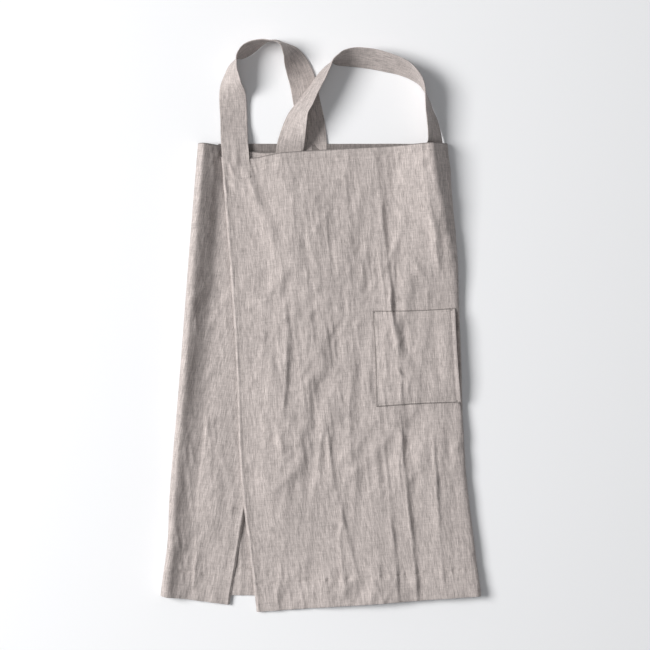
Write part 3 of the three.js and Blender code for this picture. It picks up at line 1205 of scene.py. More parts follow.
# Creases: route, height, and how wide the left and right slopes are. Folds: ends, height and width.
OUTER_CREASES = (
    Crease(((.094, .296), (.098, .235), (.106, .175), (.111, .128), (.117, .078),
            (.119, .026), (.125, -.002), (.134, -.107), (.136, -.168), (.141, -.240),
            (.147, -.303), (.154, -.364), (.162, -.425), (.164, -.461)),
           height=0.0030, left=0.013, right=0.0048),
    Crease(((.119, -.330), (.123, -.364), (.127, -.415), (.131, -.461)), 0.0020, 0.009, 0.0028),
    Crease(((.011, -.178), (.016, -.219), (.024, -.270), (.036, -.323), (.050, -.374),
            (.063, -.425)), 0.0021, 0.010, 0.003),
    Crease(((.170, .290), (.183, .221), (.196, .150), (.201, .090)), 0.0022, 0.009, 0.005),
    Crease(((.038, -.295), (.033, -.370), (.040, -.450)), 0.0015, 0.004, 0.010),
    Crease(((-.060, .030), (-.056, -.060), (-.064, -.170)), 0.0015, 0.012, 0.004),
    Crease(((.064, .150), (.056, .090), (.061, .030)), 0.0013, 0.010, 0.003),
    Crease(((.190, -.190), (.196, -.290), (.208, -.430)), 0.0019, 0.011, 0.003),
    Crease(((-.020, .150), (-.015, .060), (-.024, -.030)), 0.0013, 0.003, 0.009),
)
OUTER_FOLDS = (
    SoftFold((-.123, .264), (-.102, .185), 0.0046, 0.008),
    SoftFold((-.070, .290), (-.075, .256), 0.0018, 0.006),
    SoftFold((-.100, .200), (-.084, .130), 0.0032, 0.010),
    SoftFold((-.090, .190), (-.070, .100), 0.0024, 0.009),
    SoftFold((-.060, .275), (-.045, .190), 0.0017, 0.010),
    SoftFold((.012, -.182), (.040, -.196), 0.0024, 0.004),
    SoftFold((-.075, -.170), (-.060, -.225), 0.0026, 0.005),
    SoftFold((.020, -.205), (.060, -.222), 0.0024, 0.005),
    SoftFold((.034, -.240), (.068, -.236), -0.0017, 0.005),
    SoftFold((.168, -.360), (.182, -.385), 0.0017, 0.004),
    SoftFold((.120, .215), (.142, .178), 0.0019, 0.005),
    SoftFold((.135, .255), (.165, .235), 0.0017, 0.006),
    SoftFold((.150, .120), (.175, .080), 0.0028, 0.007),
    SoftFold((.165, .230), (.200, .150), 0.0026, 0.008),
    SoftFold((.140, .175), (.120, .110), 0.0022, 0.006),
    SoftFold((-.100, -.030), (-.075, -.120), 0.0017, 0.012),
    SoftFold((-.030, -.080), (.010, -.140), 0.0015, 0.011),
)
INNER_CREASES = (
    Crease(((-.190, -.160), (-.205, -.290), (-.214, -.440)), 0.0013, 0.004, 0.010),
)
INNER_FOLDS = (
    SoftFold((-.175, -.060), (-.205, -.110), 0.0016, 0.006),
    SoftFold((-.200, -.320), (-.235, -.370), 0.0018, 0.008),
)
OUTER_WRINKLES = Wrinkles(seed=11)
INNER_WRINKLES = Wrinkles(seed=23, amount=0.6)
FRONT_WRINKLES = Wrinkles(seed=37, amount=0.4)
STRAP_PUCKERS = PatchNoise(29)
OUTER_FREE_TOP, OUTER_FREE_BOTTOM = (-.1675, .286), (-.106, -.486)
INNER_FREE_TOP, INNER_FREE_BOTTOM = (-.029, .293), (-.1555, -.474)
OUTER_EDGE_LEAN = -0.0797  # how far the outer flap's free edge goes across in a metre along


def strap_puckers(x: Array, y: Array) -> Array:
    """Small puckers that the sewn strap end draws in the outer flap.

    Args:
        x: Places across the apron.
        y: Places along it.

    Returns:
        The heights there.
    """
    near = hump(x + 0.140, 0.026) * hump(y - 0.252, 0.036)
    small = 0.5 - np.abs(STRAP_PUCKERS.at((x + 0.30 * y) / 0.0085, y / 0.020))
    broad = STRAP_PUCKERS.at((x - 0.35 * y) / 0.016 + 50.0, y / 0.040)
    return near * (0.0062 * small + 0.0022 * broad)


def outer_edge_bow(y: Array) -> Array:
    """How far the outer flap's free edge bows from a straight line."""
    return -0.010 * hump(y + 0.23, 0.17)


def outer_edge(y: Array) -> Array:
    """Where the outer flap's free edge lies, across the apron."""
    return OUTER_FREE_TOP[0] + OUTER_EDGE_LEAN * (y - OUTER_FREE_TOP[1]) + outer_edge_bow(y)


def mouth_shadow(x: Array, y: Array) -> Array:
    """How far the flap falls away just beyond the pocket's mouth, where the mouth gapes.

    Args:
        x: Places across the apron.
        y: Places along it.

    Returns:
        How much lower the cloth is there.
    """
    mouth_x = MOUTH_X + MOUTH_SLANT * (MOUTH_TOP - y) / MOUTH_LENGTH
    reach = between(y, (-0.136, -0.126), (0.016, 0.026))
    return 0.0090 * hump(x - mouth_x - 0.0008, 0.0024) * reach


def outer_relief(x: Array, y: Array) -> Array:
    """Everything that handling has pressed into the outer flap.

    Args:
        x: Places across the apron.
        y: Places along it.

    Returns:
        The heights there.
    """
    folds = sum(part.at(x, y) for part in OUTER_CREASES + OUTER_FOLDS)
    calm = 0.35 + 0.65 * smooth(x - outer_edge(y), 0.0, 0.06)
    lively = 1 + 0.8 * smooth(x, 0.08, 0.16) * between(y, (0.0, 0.10), (0.23, 0.29))
    return folds + OUTER_WRINKLES.at(x, y) * calm * lively + strap_puckers(x, y) - mouth_shadow(x, y)


def inner_relief(x: Array, y: Array) -> Array:
    """Everything that handling has pressed into the inner flap."""
    pressed = sum(part.at(x, y) for part in INNER_CREASES + INNER_FOLDS) + INNER_WRINKLES.at(x, y)
    return pressed * (1 - 0.75 * smooth(x - outer_edge(y), -0.012, 0.012))


def outer_settle(x: Array, y: Array, v: Array) -> Array:
    """How far the outer flap sinks on to what lies under it, towards its free edge.

    Args:
        x: Places across the apron.
        y: Places along it.
        v: The same places, from the top edge (0) to the bottom edge (1).

    Returns:
        How much to add to the height, zero or less.
    """
    edge = OUTER_FREE_TOP[0] + (OUTER_FREE_BOTTOM[0] - OUTER_FREE_TOP[0]) * v + outer_edge_bow(y)
    near_table = smooth(-y, 0.285, 0.41)
    reach = x - edge
    low = 0.0072 * (1 - smooth(reach, 0.0, 0.20)) * near_table
    rest = 0.0048 * (1 - smooth(reach, 0.0, 0.085)) * (1 - near_table)
    return -(low + rest)


def inner_settle(x: Array, y: Array, v: Array) -> Array:
    """How far the inner flap sinks towards its free edge."""
    edge = INNER_FREE_TOP[0] + (INNER_FREE_BOTTOM[0] - INNER_FREE_TOP[0]) * v
    return -0.0014 * (1 - smooth(edge - x, 0.0, 0.075)) * smooth(-y, -0.16, 0.0)


def outer_flap() -> ClothLayer:
    """The outer flap: round the right fold, up over a ridge, and across to its free edge.

    Returns:
        The layer.
    """
    foot = ((FOLD_FOOT, .0005), (.012, .0005), (.005, .0012), (.0011, .0032), (-.0004, .0066))
    ridge = ((.0058, .0145), (.0138, .026), (.0233, .0385), (.0303, .0425), (.0423, .038), (.0613, .027),
             (.0853, .018), (.1073, .01495))
    low = ((.0008, .0106), (.0036, .0136), (.0083, .01495), (.0153, .0150), (.0293, .01495),
           (.0493, .01495), (.0753, .01495), (.1073, .01495))
    return ClothLayer(
        flap="outer_flap", fold=RIGHT_FOLD, inward=-1.0, profile_top=foot + ridge, profile_low=foot + low,
        ridge_end=0.34, free_top=OUTER_FREE_TOP, free_bottom=OUTER_FREE_BOTTOM, relief=outer_relief,
        fold_bow=right_bow, edge_bow=outer_edge_bow, top_dip=lambda x: 0.0068 * hump(x + 0.118, 0.036),
        settle=outer_settle)


def inner_flap() -> ClothLayer:
    """The inner flap: round the left fold in a roll, down into a valley, and across.

    Returns:
        The layer.
    """
    foot = ((FOLD_FOOT, .0005), (.014, .0005), (.0055, .0014), (.0012, .0044), (-.0004, .0090))
    roll = ((.0020, .0182), (.0062, .0274), (.0125, .0302), (.0280, .0192), (.0465, .0056))
    low = ((.0015, .0155), (.0056, .0210), (.0120, .0210), (.0270, .0120), (.0460, .0070))
    return ClothLayer(
        flap="inner_flap", fold=LEFT_FOLD, inward=1.0, profile_top=foot + roll, profile_low=foot + low,
        ridge_end=0.8, free_top=INNER_FREE_TOP, free_bottom=INNER_FREE_BOTTOM, relief=inner_relief,
        fold_bow=left_bow, top_dip=lambda x: 0.0065 * hump(x + 0.105, 0.045), settle=inner_settle)


@dataclass
class FrontCloth:
    """The front of the body cloth, outer face down on the table between the two folds."""

    height: float = 0.0005
    width: float = 0.42  # flat, from where it meets one fold to where it meets the other
    chart_width: float = 0.4
    crease: Crease = Crease(((-.1350, -.360), (-.1352, -.456)), 0.0012, 0.004, 0.006)

    def ends(self, y: Array) -> tuple[Array, Array]:
        """Where the front meets the left and right folds at a place along them."""
        left = LEFT_FOLD.x_at(y) + left_bow(y) + FOLD_FOOT
        return left, RIGHT_FOLD.x_at(y) + right_bow(y) - FOLD_FOOT

    def surface(self, u: Array, v: Array, lift: Array | float = 0.0) -> Array:
        """The front's inner face, with its own faint waves away from the folds.

        Args:
            u: From the left fold (0) to the right fold (1).
            v: From the top edge (0) to the bottom edge (1).
            lift: How far to raise the face.

        Returns:
            Points of shape (..., 3).
        """
        y = BODY_TOP + (BODY_BOTTOM - BODY_TOP) * v
        left, right = self.ends(np.clip(y, BODY_BOTTOM, BODY_TOP))
        x = left + (right - left) * u
        inside = between(u, (0.0, 0.08), (0.92, 1.0))
        waves = np.abs(FRONT_WRINKLES.at(x, y)) * 1.6
        return np.stack([x, y, self.height + (waves + self.crease.at(x, y)) * inside + lift], axis=-1)

    def hemmed(self, u: Array, v: Array) -> Array:
        """The front with its hems turned up on to its inner face; v is in metres outside 0 to 1.

        Args:
            u: Places across the grid.
            v: Places along it.

        Returns:
            Points of shape (..., 3).
        """
        free_v, turned_in = round_hems(v, TOP_HEM, BOTTOM_HEM, BODY_LENGTH)
        return self.surface(u, free_v, -turned_in)

    def chart(self, u: Array, v: Array) -> tuple[Array, Array]:
        """The cloth's own coordinates."""
        return self.chart_width * u, -(np.clip(v, 0, 1) * BODY_LENGTH + past(v))

    def build(self, across: float, along: float) -> bpy.types.Object:
        """Makes the front's mesh, with its spacing across and down the cloth.

        Args:
            across: The mesh's spacing across the cloth.
            along: Its spacing down the cloth.

        Returns:
            The piece.
        """
        u = np.linspace(0.0, 1.0, round(self.width / across) + 1)
        v = with_hems(np.linspace(0.0, 1.0, round(BODY_LENGTH / along) + 1), TOP_HEM, BOTTOM_HEM)
        piece = grid_piece("front_cloth", u, v, self.hemmed, self.chart)
        thicken(piece, CLOTH)
        return piece


# ---- The body cloth, assembled -------------------------------------------------------------------


@dataclass
class BodyCloth:
    """The wide cloth that makes the apron's front and both flaps, with its hem stitching."""

    finishes: Finishes
    across: float = 0.00204  # the mesh's spacing across the cloth, where the creases are close
    along: float = 0.0042
    bend_start: float = 0.0009
    bend_end: float = 0.0034
    from_edge: float = 0.001  # how far a hem's stitches lie from the edge of its doubled cloth
    front_lift: float = 0.0015  # how far the front's stitches lie above its one layer
    outer: ClothLayer = field(default_factory=outer_flap)
    inner: ClothLayer = field(default_factory=inner_flap)
    front: FrontCloth = field(default_factory=FrontCloth)

    def bend(self, piece: bpy.types.Object) -> None:
        """Bakes a flap's piece's placement into its mesh.

        Args:
            piece: The flap's cloth or its stitches.
        """
        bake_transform(piece)

    def hem_lines(self, layer: ClothLayer) -> Seam:
        """The stitching that holds a flap's three hems, on its outer face.

        Args:
            layer: The flap's cloth.

        Returns:
            The seam.
        """
        seam = Seam()
        past_turn = (layer.turn_point + 0.7) / layer.spans
        u = np.linspace(past_turn, 1.0, 400)
        for v in ((TOP_HEM.depth - self.from_edge) / BODY_LENGTH,
                  1 - (BOTTOM_HEM.depth - self.from_edge) / BODY_LENGTH):
            line = np.full_like(u, v)
            seam.run(layer.surface(u, line, STITCH_LIFT), layer.normals(u, line))
        v = np.linspace(0.001, 0.999, 500)
        side = layer.u_at(layer.width_at(v) - SIDE_HEM.depth + self.from_edge, v)
        seam.run(layer.surface(side, v, STITCH_LIFT), layer.normals(side, v))
        return seam

    def front_lines(self) -> Seam:
        """The stitching of the front's top and bottom hems, on its inner face.

        Returns:
            The seam.
        """
        seam = Seam()
        u = np.linspace(0.0, 1.0, 300)
        for v in (TOP_HEM.depth / BODY_LENGTH, 1 - BOTTOM_HEM.depth / BODY_LENGTH):
            points = self.front.surface(u, np.full_like(u, v), self.front_lift)
            seam.run(points, np.tile([0.0, 0.0, 1.0], (len(u), 1)))
        return seam

    def flap(self, layer: ClothLayer, fold_node: str, flat: tuple[float, float],
             under: list[bpy.types.Object]) -> bpy.types.Object:
        """Builds one flap with its side fold.

        Args:
            layer: The flap's cloth.
            fold_node: The node of its side fold.
            flat: The size that the sheet was cut to; not used.
            under: The pieces that it lies on; not used.

        Returns:
            The flap's cloth, as a piece.
        """
        piece = layer.build(self.across, self.along)
        self.bend(piece)
        parts = (f"{layer.flap}_{part}" for part in ("panel", "top_hem", "bottom_hem", "side_hem"))
        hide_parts(fold_node, *parts)
        return piece

    def build(self) -> None:
        """Builds the front, both flaps and their stitching, and hangs the front and its stitches on the
        root.
        """
        front = self.front.build(self.across, self.along)
        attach(front, "root")
        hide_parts("front_panel", "front_top_hem", "front_bottom_hem")
        inner = self.flap(self.inner, "left_fold", (.245, .840), [front])
        outer = self.flap(self.outer, "right_fold", (.460, .842), [inner, front])
        for piece in (front, inner, outer):
            self.finishes.dress(piece, Cut.BODY)
            report(piece)
        stitches = self.front_lines().build("front_hem_stitches", self.finishes)
        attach(stitches, "root")
        report(stitches)
        for layer in (self.inner, self.outer):
            stitches = self.hem_lines(layer).build(f"{layer.flap}_hem_stitches", self.finishes)
            self.bend(stitches)
            report(stitches)


# ---- The shoulder straps -------------------------------------------------------------------------


Station = tuple[Point, Point]


@dataclass
class StrapRoute:
    """The way a strap lies: pairs of points across it, low edge first, from its flap to the front."""

    stations: tuple[Station, ...]
    spacing: float = 0.0025

    def __post_init__(self) -> None:
        """Works out the strap's middle line and frame at even steps along it."""
        pairs = np.array(self.stations, float)
        middle = pairs.mean(axis=1)
        side = pairs[:, 1] - pairs[:, 0]
        side /= np.linalg.norm(side, axis=1, keepdims=True)
        knot = running_sum(np.sqrt(np.linalg.norm(np.diff(middle, axis=0), axis=1)))
        fine = np.linspace(0.0, knot[-1], 4000)
        line, across = self.through(knot, middle, fine), self.through(knot, side, fine)
        run = distances(line)
        self.length = float(run[-1])
        self.rows = round(self.length / self.spacing) + 1
        self.along = np.linspace(0.0, self.length, self.rows)
        self.middle, self.side = read_off(self.along, run, line), read_off(self.along, run, across)
        tangent = np.gradient(self.middle, self.along, axis=0)
        tangent /= np.linalg.norm(tangent, axis=1, keepdims=True)
        self.side -= (self.side * tangent).sum(axis=1, keepdims=True) * tangent
        self.side /= np.linalg.norm(self.side, axis=1, keepdims=True)
        self.face = np.cross(self.side, tangent)

    @staticmethod
    def through(knot: Array, values: Array, at: Array) -> Array:
        """A smooth curve through values at their knots.

        Args:
            knot: The knots, in rising order.
            values: The values at the knots, of shape (n, 3).
            at: Where to sample.

        Returns:
            The curve's values, of shape (m, 3).
        """
        slope = np.gradient(values, knot, axis=0)
        i = np.clip(np.searchsorted(knot, at, side="right") - 1, 0, len(knot) - 2)
        h = (knot[i + 1] - knot[i])[:, None]
        f = ((at - knot[i])[:, None]) / h
        return ((2 * f**3 - 3 * f**2 + 1) * values[i] + (f**3 - 2 * f**2 + f) * h * slope[i]
                + (3 * f**2 - 2 * f**3) * values[i + 1] + (f**3 - f**2) * h * slope[i + 1])


@dataclass
class Strap:
    """One shoulder strap: linen folded into a flat band and stitched along both edges."""

    name: str
    route: StrapRoute
    flap: str
    nodes: tuple[str, ...]
    bend_from: Point
    bend_to: Point
    lies_on: Callable[[Array, Array], Array]
    seed: int
    width: float = 0.046
    thickness: float = 0.0018
    stitch_inset: float = 0.0025
    stitch_dent: float = 0.38  # the share of its thickness that the band loses along its stitching
    sewn_end: tuple[float, float] = (0.045, 0.075)  # where the sewn end gives way to the free strap
    sunk: float = 0.0013  # how deep the cut edge at the flap sits in the cloth
    ironed: float = 0.45  # the share of its thickness that is left where it is sewn down
    end_rows: int = 17  # how many rows in from an end its second line of stitches is
    stitch_height: float = 0.66  # of half the thickness, where the edge stitches lie
    end_stitch_height: float = 0.3  # of the thickness, where the ends' stitches lie

    def outline(self) -> Array:
        """The band's cross-section: across and through, once round.

        Returns:
            Points of shape (n, 2), the last one the same as the first.
        """
        half_w, half_t = self.width / 2, self.thickness / 2
        flat = np.linspace(-half_w + half_t, half_w - half_t, 21)
        turn = np.linspace(-math.pi / 2, math.pi / 2, 5)[1:-1]
        right = [(half_w - half_t + half_t * math.cos(a), half_t * math.sin(a)) for a in turn]
        left = [(-half_w + half_t - half_t * math.cos(a), -half_t * math.sin(a)) for a in turn]
        band = [(x, -half_t) for x in flat] + right + [(x, half_t) for x in flat[::-1]] + left
        return np.array(band + band[:1])

    def waviness(self, across: Array, row: Array) -> Array:
        """The band's slow unevenness, and how its edges curl a little.

        Args:
            across: Places across the band.
            row: Rows along it.

        Returns:
            How far the band strays from its route there.
        """
        noise = PatchNoise(self.seed)
        along = self.route.along[row]
        wave = 0.0008 * noise.at(across / 0.03 + 9.3, along / 0.035)
        curl = 0.0006 * noise.at(np.sign(across) * 3.7 + 20, along / 0.018)
        return wave + curl * smooth(np.abs(across), 0.008, 0.023)

    def points(self, across: Array, through: Array, row: Array) -> Array:
        """Points of the band.

        Args:
            across: Places across the band.
            through: Places through its thickness.
            row: Rows along it.

        Returns:
            Points of shape (n, 3).
        """
        route = self.route
        base = route.middle[row] + route.side[row] * across[:, None]
        lift = through + self.waviness(across, row) * self.freedom(row)
        points = base + route.face[row] * lift[:, None]
        sunk = self.sunk * (1 - smooth(route.along[row], 0.0, 0.009))
        points[:, 2] += self.lies_on(base[:, 0], base[:, 1]) - sunk
        return points

    def freedom(self, row: Array) -> Array:
        """0 where the strap is sewn down, at both its ends, and 1 between them."""
        (near, far), length = self.sewn_end, self.route.length
        return between(self.route.along[row], (near, far), (length - far, length - near))

    def pressed(self, across: Array) -> Array:
        """The share of its thickness that the band keeps, which is less along its stitching."""
        gap = np.abs(across) - (self.width / 2 - self.stitch_inset)
        return 1.0 - self.stitch_dent * hump(gap, 0.0011)

    def build(self, finishes: Finishes) -> None:
        """Makes the strap and its stitching, dressed in the apron's materials.

        Args:
            finishes: The apron's materials.
        """
        band = self.outline()

        def place(u: Array, v: Array) -> Array:
            """Points of the band, from places round its outline and rows along it.

            Args:
                u: Indices into the band's outline.
                v: Rows along the band.

            Returns:
                Points of shape (n, 3).
            """
            across, through = band[u.astype(int)].T
            row = v.astype(int)
            ironed = self.ironed + (1 - self.ironed) * self.freedom(row)
            return self.points(across, through * self.pressed(across) * ironed, row)

        def chart(u: Array, v: Array) -> tuple[Array, Array]:
            """The cloth's own coordinates: distance round the band, and along it."""
            girth = running_sum(np.hypot(*np.diff(band, axis=0).T))
            return girth[u.astype(int)], self.route.along[v.astype(int)]

        columns, rows = np.arange(len(band)).astype(float), np.arange(self.route.rows).astype(float)
        piece = grid_piece(self.name, columns, rows, place, chart, close_u=True)
        finishes.dress(piece, Cut.STRAP)
        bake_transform(piece)
        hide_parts(*self.nodes)
        report(piece)
        stitches = self.stitching().build(f"{self.name}_stitches", finishes)
        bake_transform(stitches)
        report(stitches)

    def stitching(self) -> Seam:
        """Edge stitching on both faces, and the rows that hold both ends down.

        Returns:
            The seam.
        """
        seam = Seam()
        row = np.arange(self.route.rows)
        inset = self.width / 2 - self.stitch_inset
        height = self.thickness / 2 * self.stitch_height * (0.6 + 0.4 * self.freedom(row))
        for across in (-inset, inset):
            for face in (-1.0, 1.0):
                at = np.full(len(row), across)
                points = self.points(at, face * height, row)
                seam.run(points, self.route.face[row] * face)
        at = np.linspace(-inset, inset, 30)
        last = self.route.rows - 1
        for end in (1, self.end_rows, last - self.end_rows, last - 1):
            line = np.full(len(at), end)
            points = self.points(at, np.full(len(at), self.thickness * self.end_stitch_height), line)
            seam.run(points, self.route.face[line])
        return seam


OUTER_STRAP_ROUTE = StrapRoute((
    ((-.1634, .242, .01705), (-.1174, .242, .01705)),
    ((-.1652, .264, .01705), (-.1192, .264, .01705)),
    ((-.167, .287, .01705), (-.121, .287, .01705)),
    ((-.169, .315, .015), (-.123, .315, .012)),
    ((-.1705, .352, .012), (-.124, .352, .006)),
    ((-.171, .386, .007), (-.127, .39, .012)),
    ((-.1645, .416, .0012), (-.134, .414, .036)),
    ((-.1555, .439, .0012), (-.14, .4335, .044)),
    ((-.146, .449, .0012), (-.1405, .445, .046)),
    ((-.1385, .4515, .0012), (-.1395, .455, .047)),
    ((-.131, .453, .0012), (-.1355, .463, .046)),
    ((-.1215, .4575, .0012), (-.1275, .4705, .045)),
    ((-.1095, .466, .0012), (-.115, .4765, .0455)),
    ((-.098, .4765, .0012), (-.0995, .478, .047)),
    ((-.0885, .483, .0012), (-.086, .4765, .0465)),
    ((-.0785, .485, .0012), (-.0775, .4755, .046)),
    ((-.064, .48, .0012), (-.07, .473, .046)),
    ((-.046, .4675, .0012), (-.067, .4645, .041)),
    ((-.029, .452, .0012), (-.0635, .45, .03)),
    ((-.016, .4345, .0012), (-.058, .4285, .018)),
    ((-.0075, .413, .0012), (-.051, .404, .009)),
    ((-.0015, .383, .0012), (-.046, .376, .004)),
    ((.0055, .352, .0012), (-.0395, .347, .0015)),
    ((.0095, .32, .00305), (-.036, .319, .00305)),
    ((.0105, .309, .00305), (-.0355, .309, .00305)),
    ((.0105, .286, .00305), (-.0355, .286, .00305)),
    ((.0105, .264, .00305), (-.0355, .264, .00305)),
))

INNER_STRAP_ROUTE = StrapRoute((
    ((-.0775, .25, .01285), (-.0315, .25, .01285)),
    ((-.0765, .272, .01285), (-.0305, .272, .01285)),
    ((-.0755, .295, .01285), (-.0295, .295, .01285)),
    ((-.07, .314, .012), (-.0265, .315, .025)),
    ((-.062, .3365, .01), (-.023, .3385, .034)),
    ((-.051, .358, .0085), (-.0195, .36, .041)),
    ((-.0375, .379, .0075), (-.011, .3745, .044)),
    ((-.023, .399, .006), (-.0035, .3915, .046)),
    ((-.011, .4165, .004), (.004, .4075, .046)),
    ((-.001, .429, .002), (.0115, .4225, .046)),
    ((.0105, .44, .0012), (.0175, .436, .0465)),
    ((.021, .445, .0012), (.0225, .448, .047)),
    ((.032, .4415, .0012), (.031, .457, .044)),
    ((.045, .44, .0012), (.045, .464, .04)),
    ((.0635, .438, .0012), (.0635, .467, .037)),
    ((.0855, .435, .0012), (.0875, .4645, .036)),
    ((.1095, .4305, .0012), (.114, .4575, .038)),
    ((.1315, .4255, .0012), (.1385, .447, .041)),
    ((.152, .418, .0012), (.158, .4325, .044)),
    ((.1665, .409, .0012), (.1705, .4155, .0465)),
    ((.1755, .3985, .0012), (.175, .3995, .047)),
    ((.184, .3835, .0012), (.1765, .3795, .046)),
    ((.191, .364, .0012), (.177, .361, .045)),
    ((.1995, .345, .0012), (.179, .341, .042)),
    ((.204, .326, .0025), (.181, .3235, .04)),
    ((.206, .309, .0045), (.181, .309, .038)),
    ((.206, .294, .004), (.172, .294, .031)),
    ((.2055, .278, .0035), (.163, .278, .016)),
    ((.205, .264, .00305), (.16, .264, .00305)),
))


SEWN_CLEARANCE = 0.0006  # how far the middle of a sewn strap lies above the middle of its flap's cloth


def sewn_to(flap: ClothLayer, height: float, leave: float) -> Callable[[Array, Array], Array]:
    """Sets a strap's sewn end down on its flap.

    Args:
        flap: The flap it is sewn to.
        height: The strap's height in its route, where it is sewn.
        leave: Where along the apron it leaves the flap's top edge.

    Returns:
        How far to raise the strap at a place.
    """
    def raised(x: Array, y: Array) -> Array:
        """The flap's height less the route's, dying away beyond the top edge.

        Args:
            x: Places across the apron.
            y: Places along it.

        Returns:
            How far to raise the strap.
        """
        beside = (x < flap.free_top[0] + 0.07) * (x > flap.free_top[0] - 0.06)
        near = (1 - smooth(y, leave, leave + 0.045)) * beside
        there = flap.height_at(x, np.minimum(y, leave)) + SEWN_CLEARANCE
        return np.where(near > 0, (there - height) * near, 0.0)
    return raised


def straps(body: BodyCloth) -> tuple[Strap, Strap]:
    """Both shoulder straps, sewn to the body cloth's flaps.

    Args:
        body: The body cloth.

    Returns:
        The outer strap and the inner one.
    """
    outer = Strap(
        name="outer_strap", route=OUTER_STRAP_ROUTE, flap="outer_flap",
        nodes=("outer_strap_loop", "outer_strap_front_end", "outer_strap_back_end"),
        bend_from=(-.034, .3, .01), bend_to=(-.120, .3, .01),
        lies_on=sewn_to(body.outer, OUTER_STRAP_ROUTE.stations[0][0][2], .279), seed=51)
    inner = Strap(
        name="inner_strap", route=INNER_STRAP_ROUTE, flap="inner_flap",
        nodes=("inner_strap_loop", "inner_strap_front_end", "inner_strap_back_end"),
        bend_from=(.150, .3, .01), bend_to=(-.026, .3, .01),
        lies_on=sewn_to(body.inner, INNER_STRAP_ROUTE.stations[0][0][2], .286), seed=67)
    return outer, inner


# ---- The pocket ----------------------------------------------------------------------------------


POCKET_FOLDS = (
    Crease(((.1290, .020), (.1340, -.050), (.1380, -.130)), 0.0012, 0.004, 0.010),
    SoftFold((.120, .012), (.142, -.062), 0.0018, 0.006),
    SoftFold((.160, -.040), (.205, -.110), 0.0016, 0.010),
    SoftFold((.127, -.070), (.140, -.090), 0.0026, 0.003),
    SoftFold((.175, .015), (.168, -.060), 0.0014, 0.011),
    SoftFold((.205, .010), (.214, -.120), 0.0016, 0.009),
)


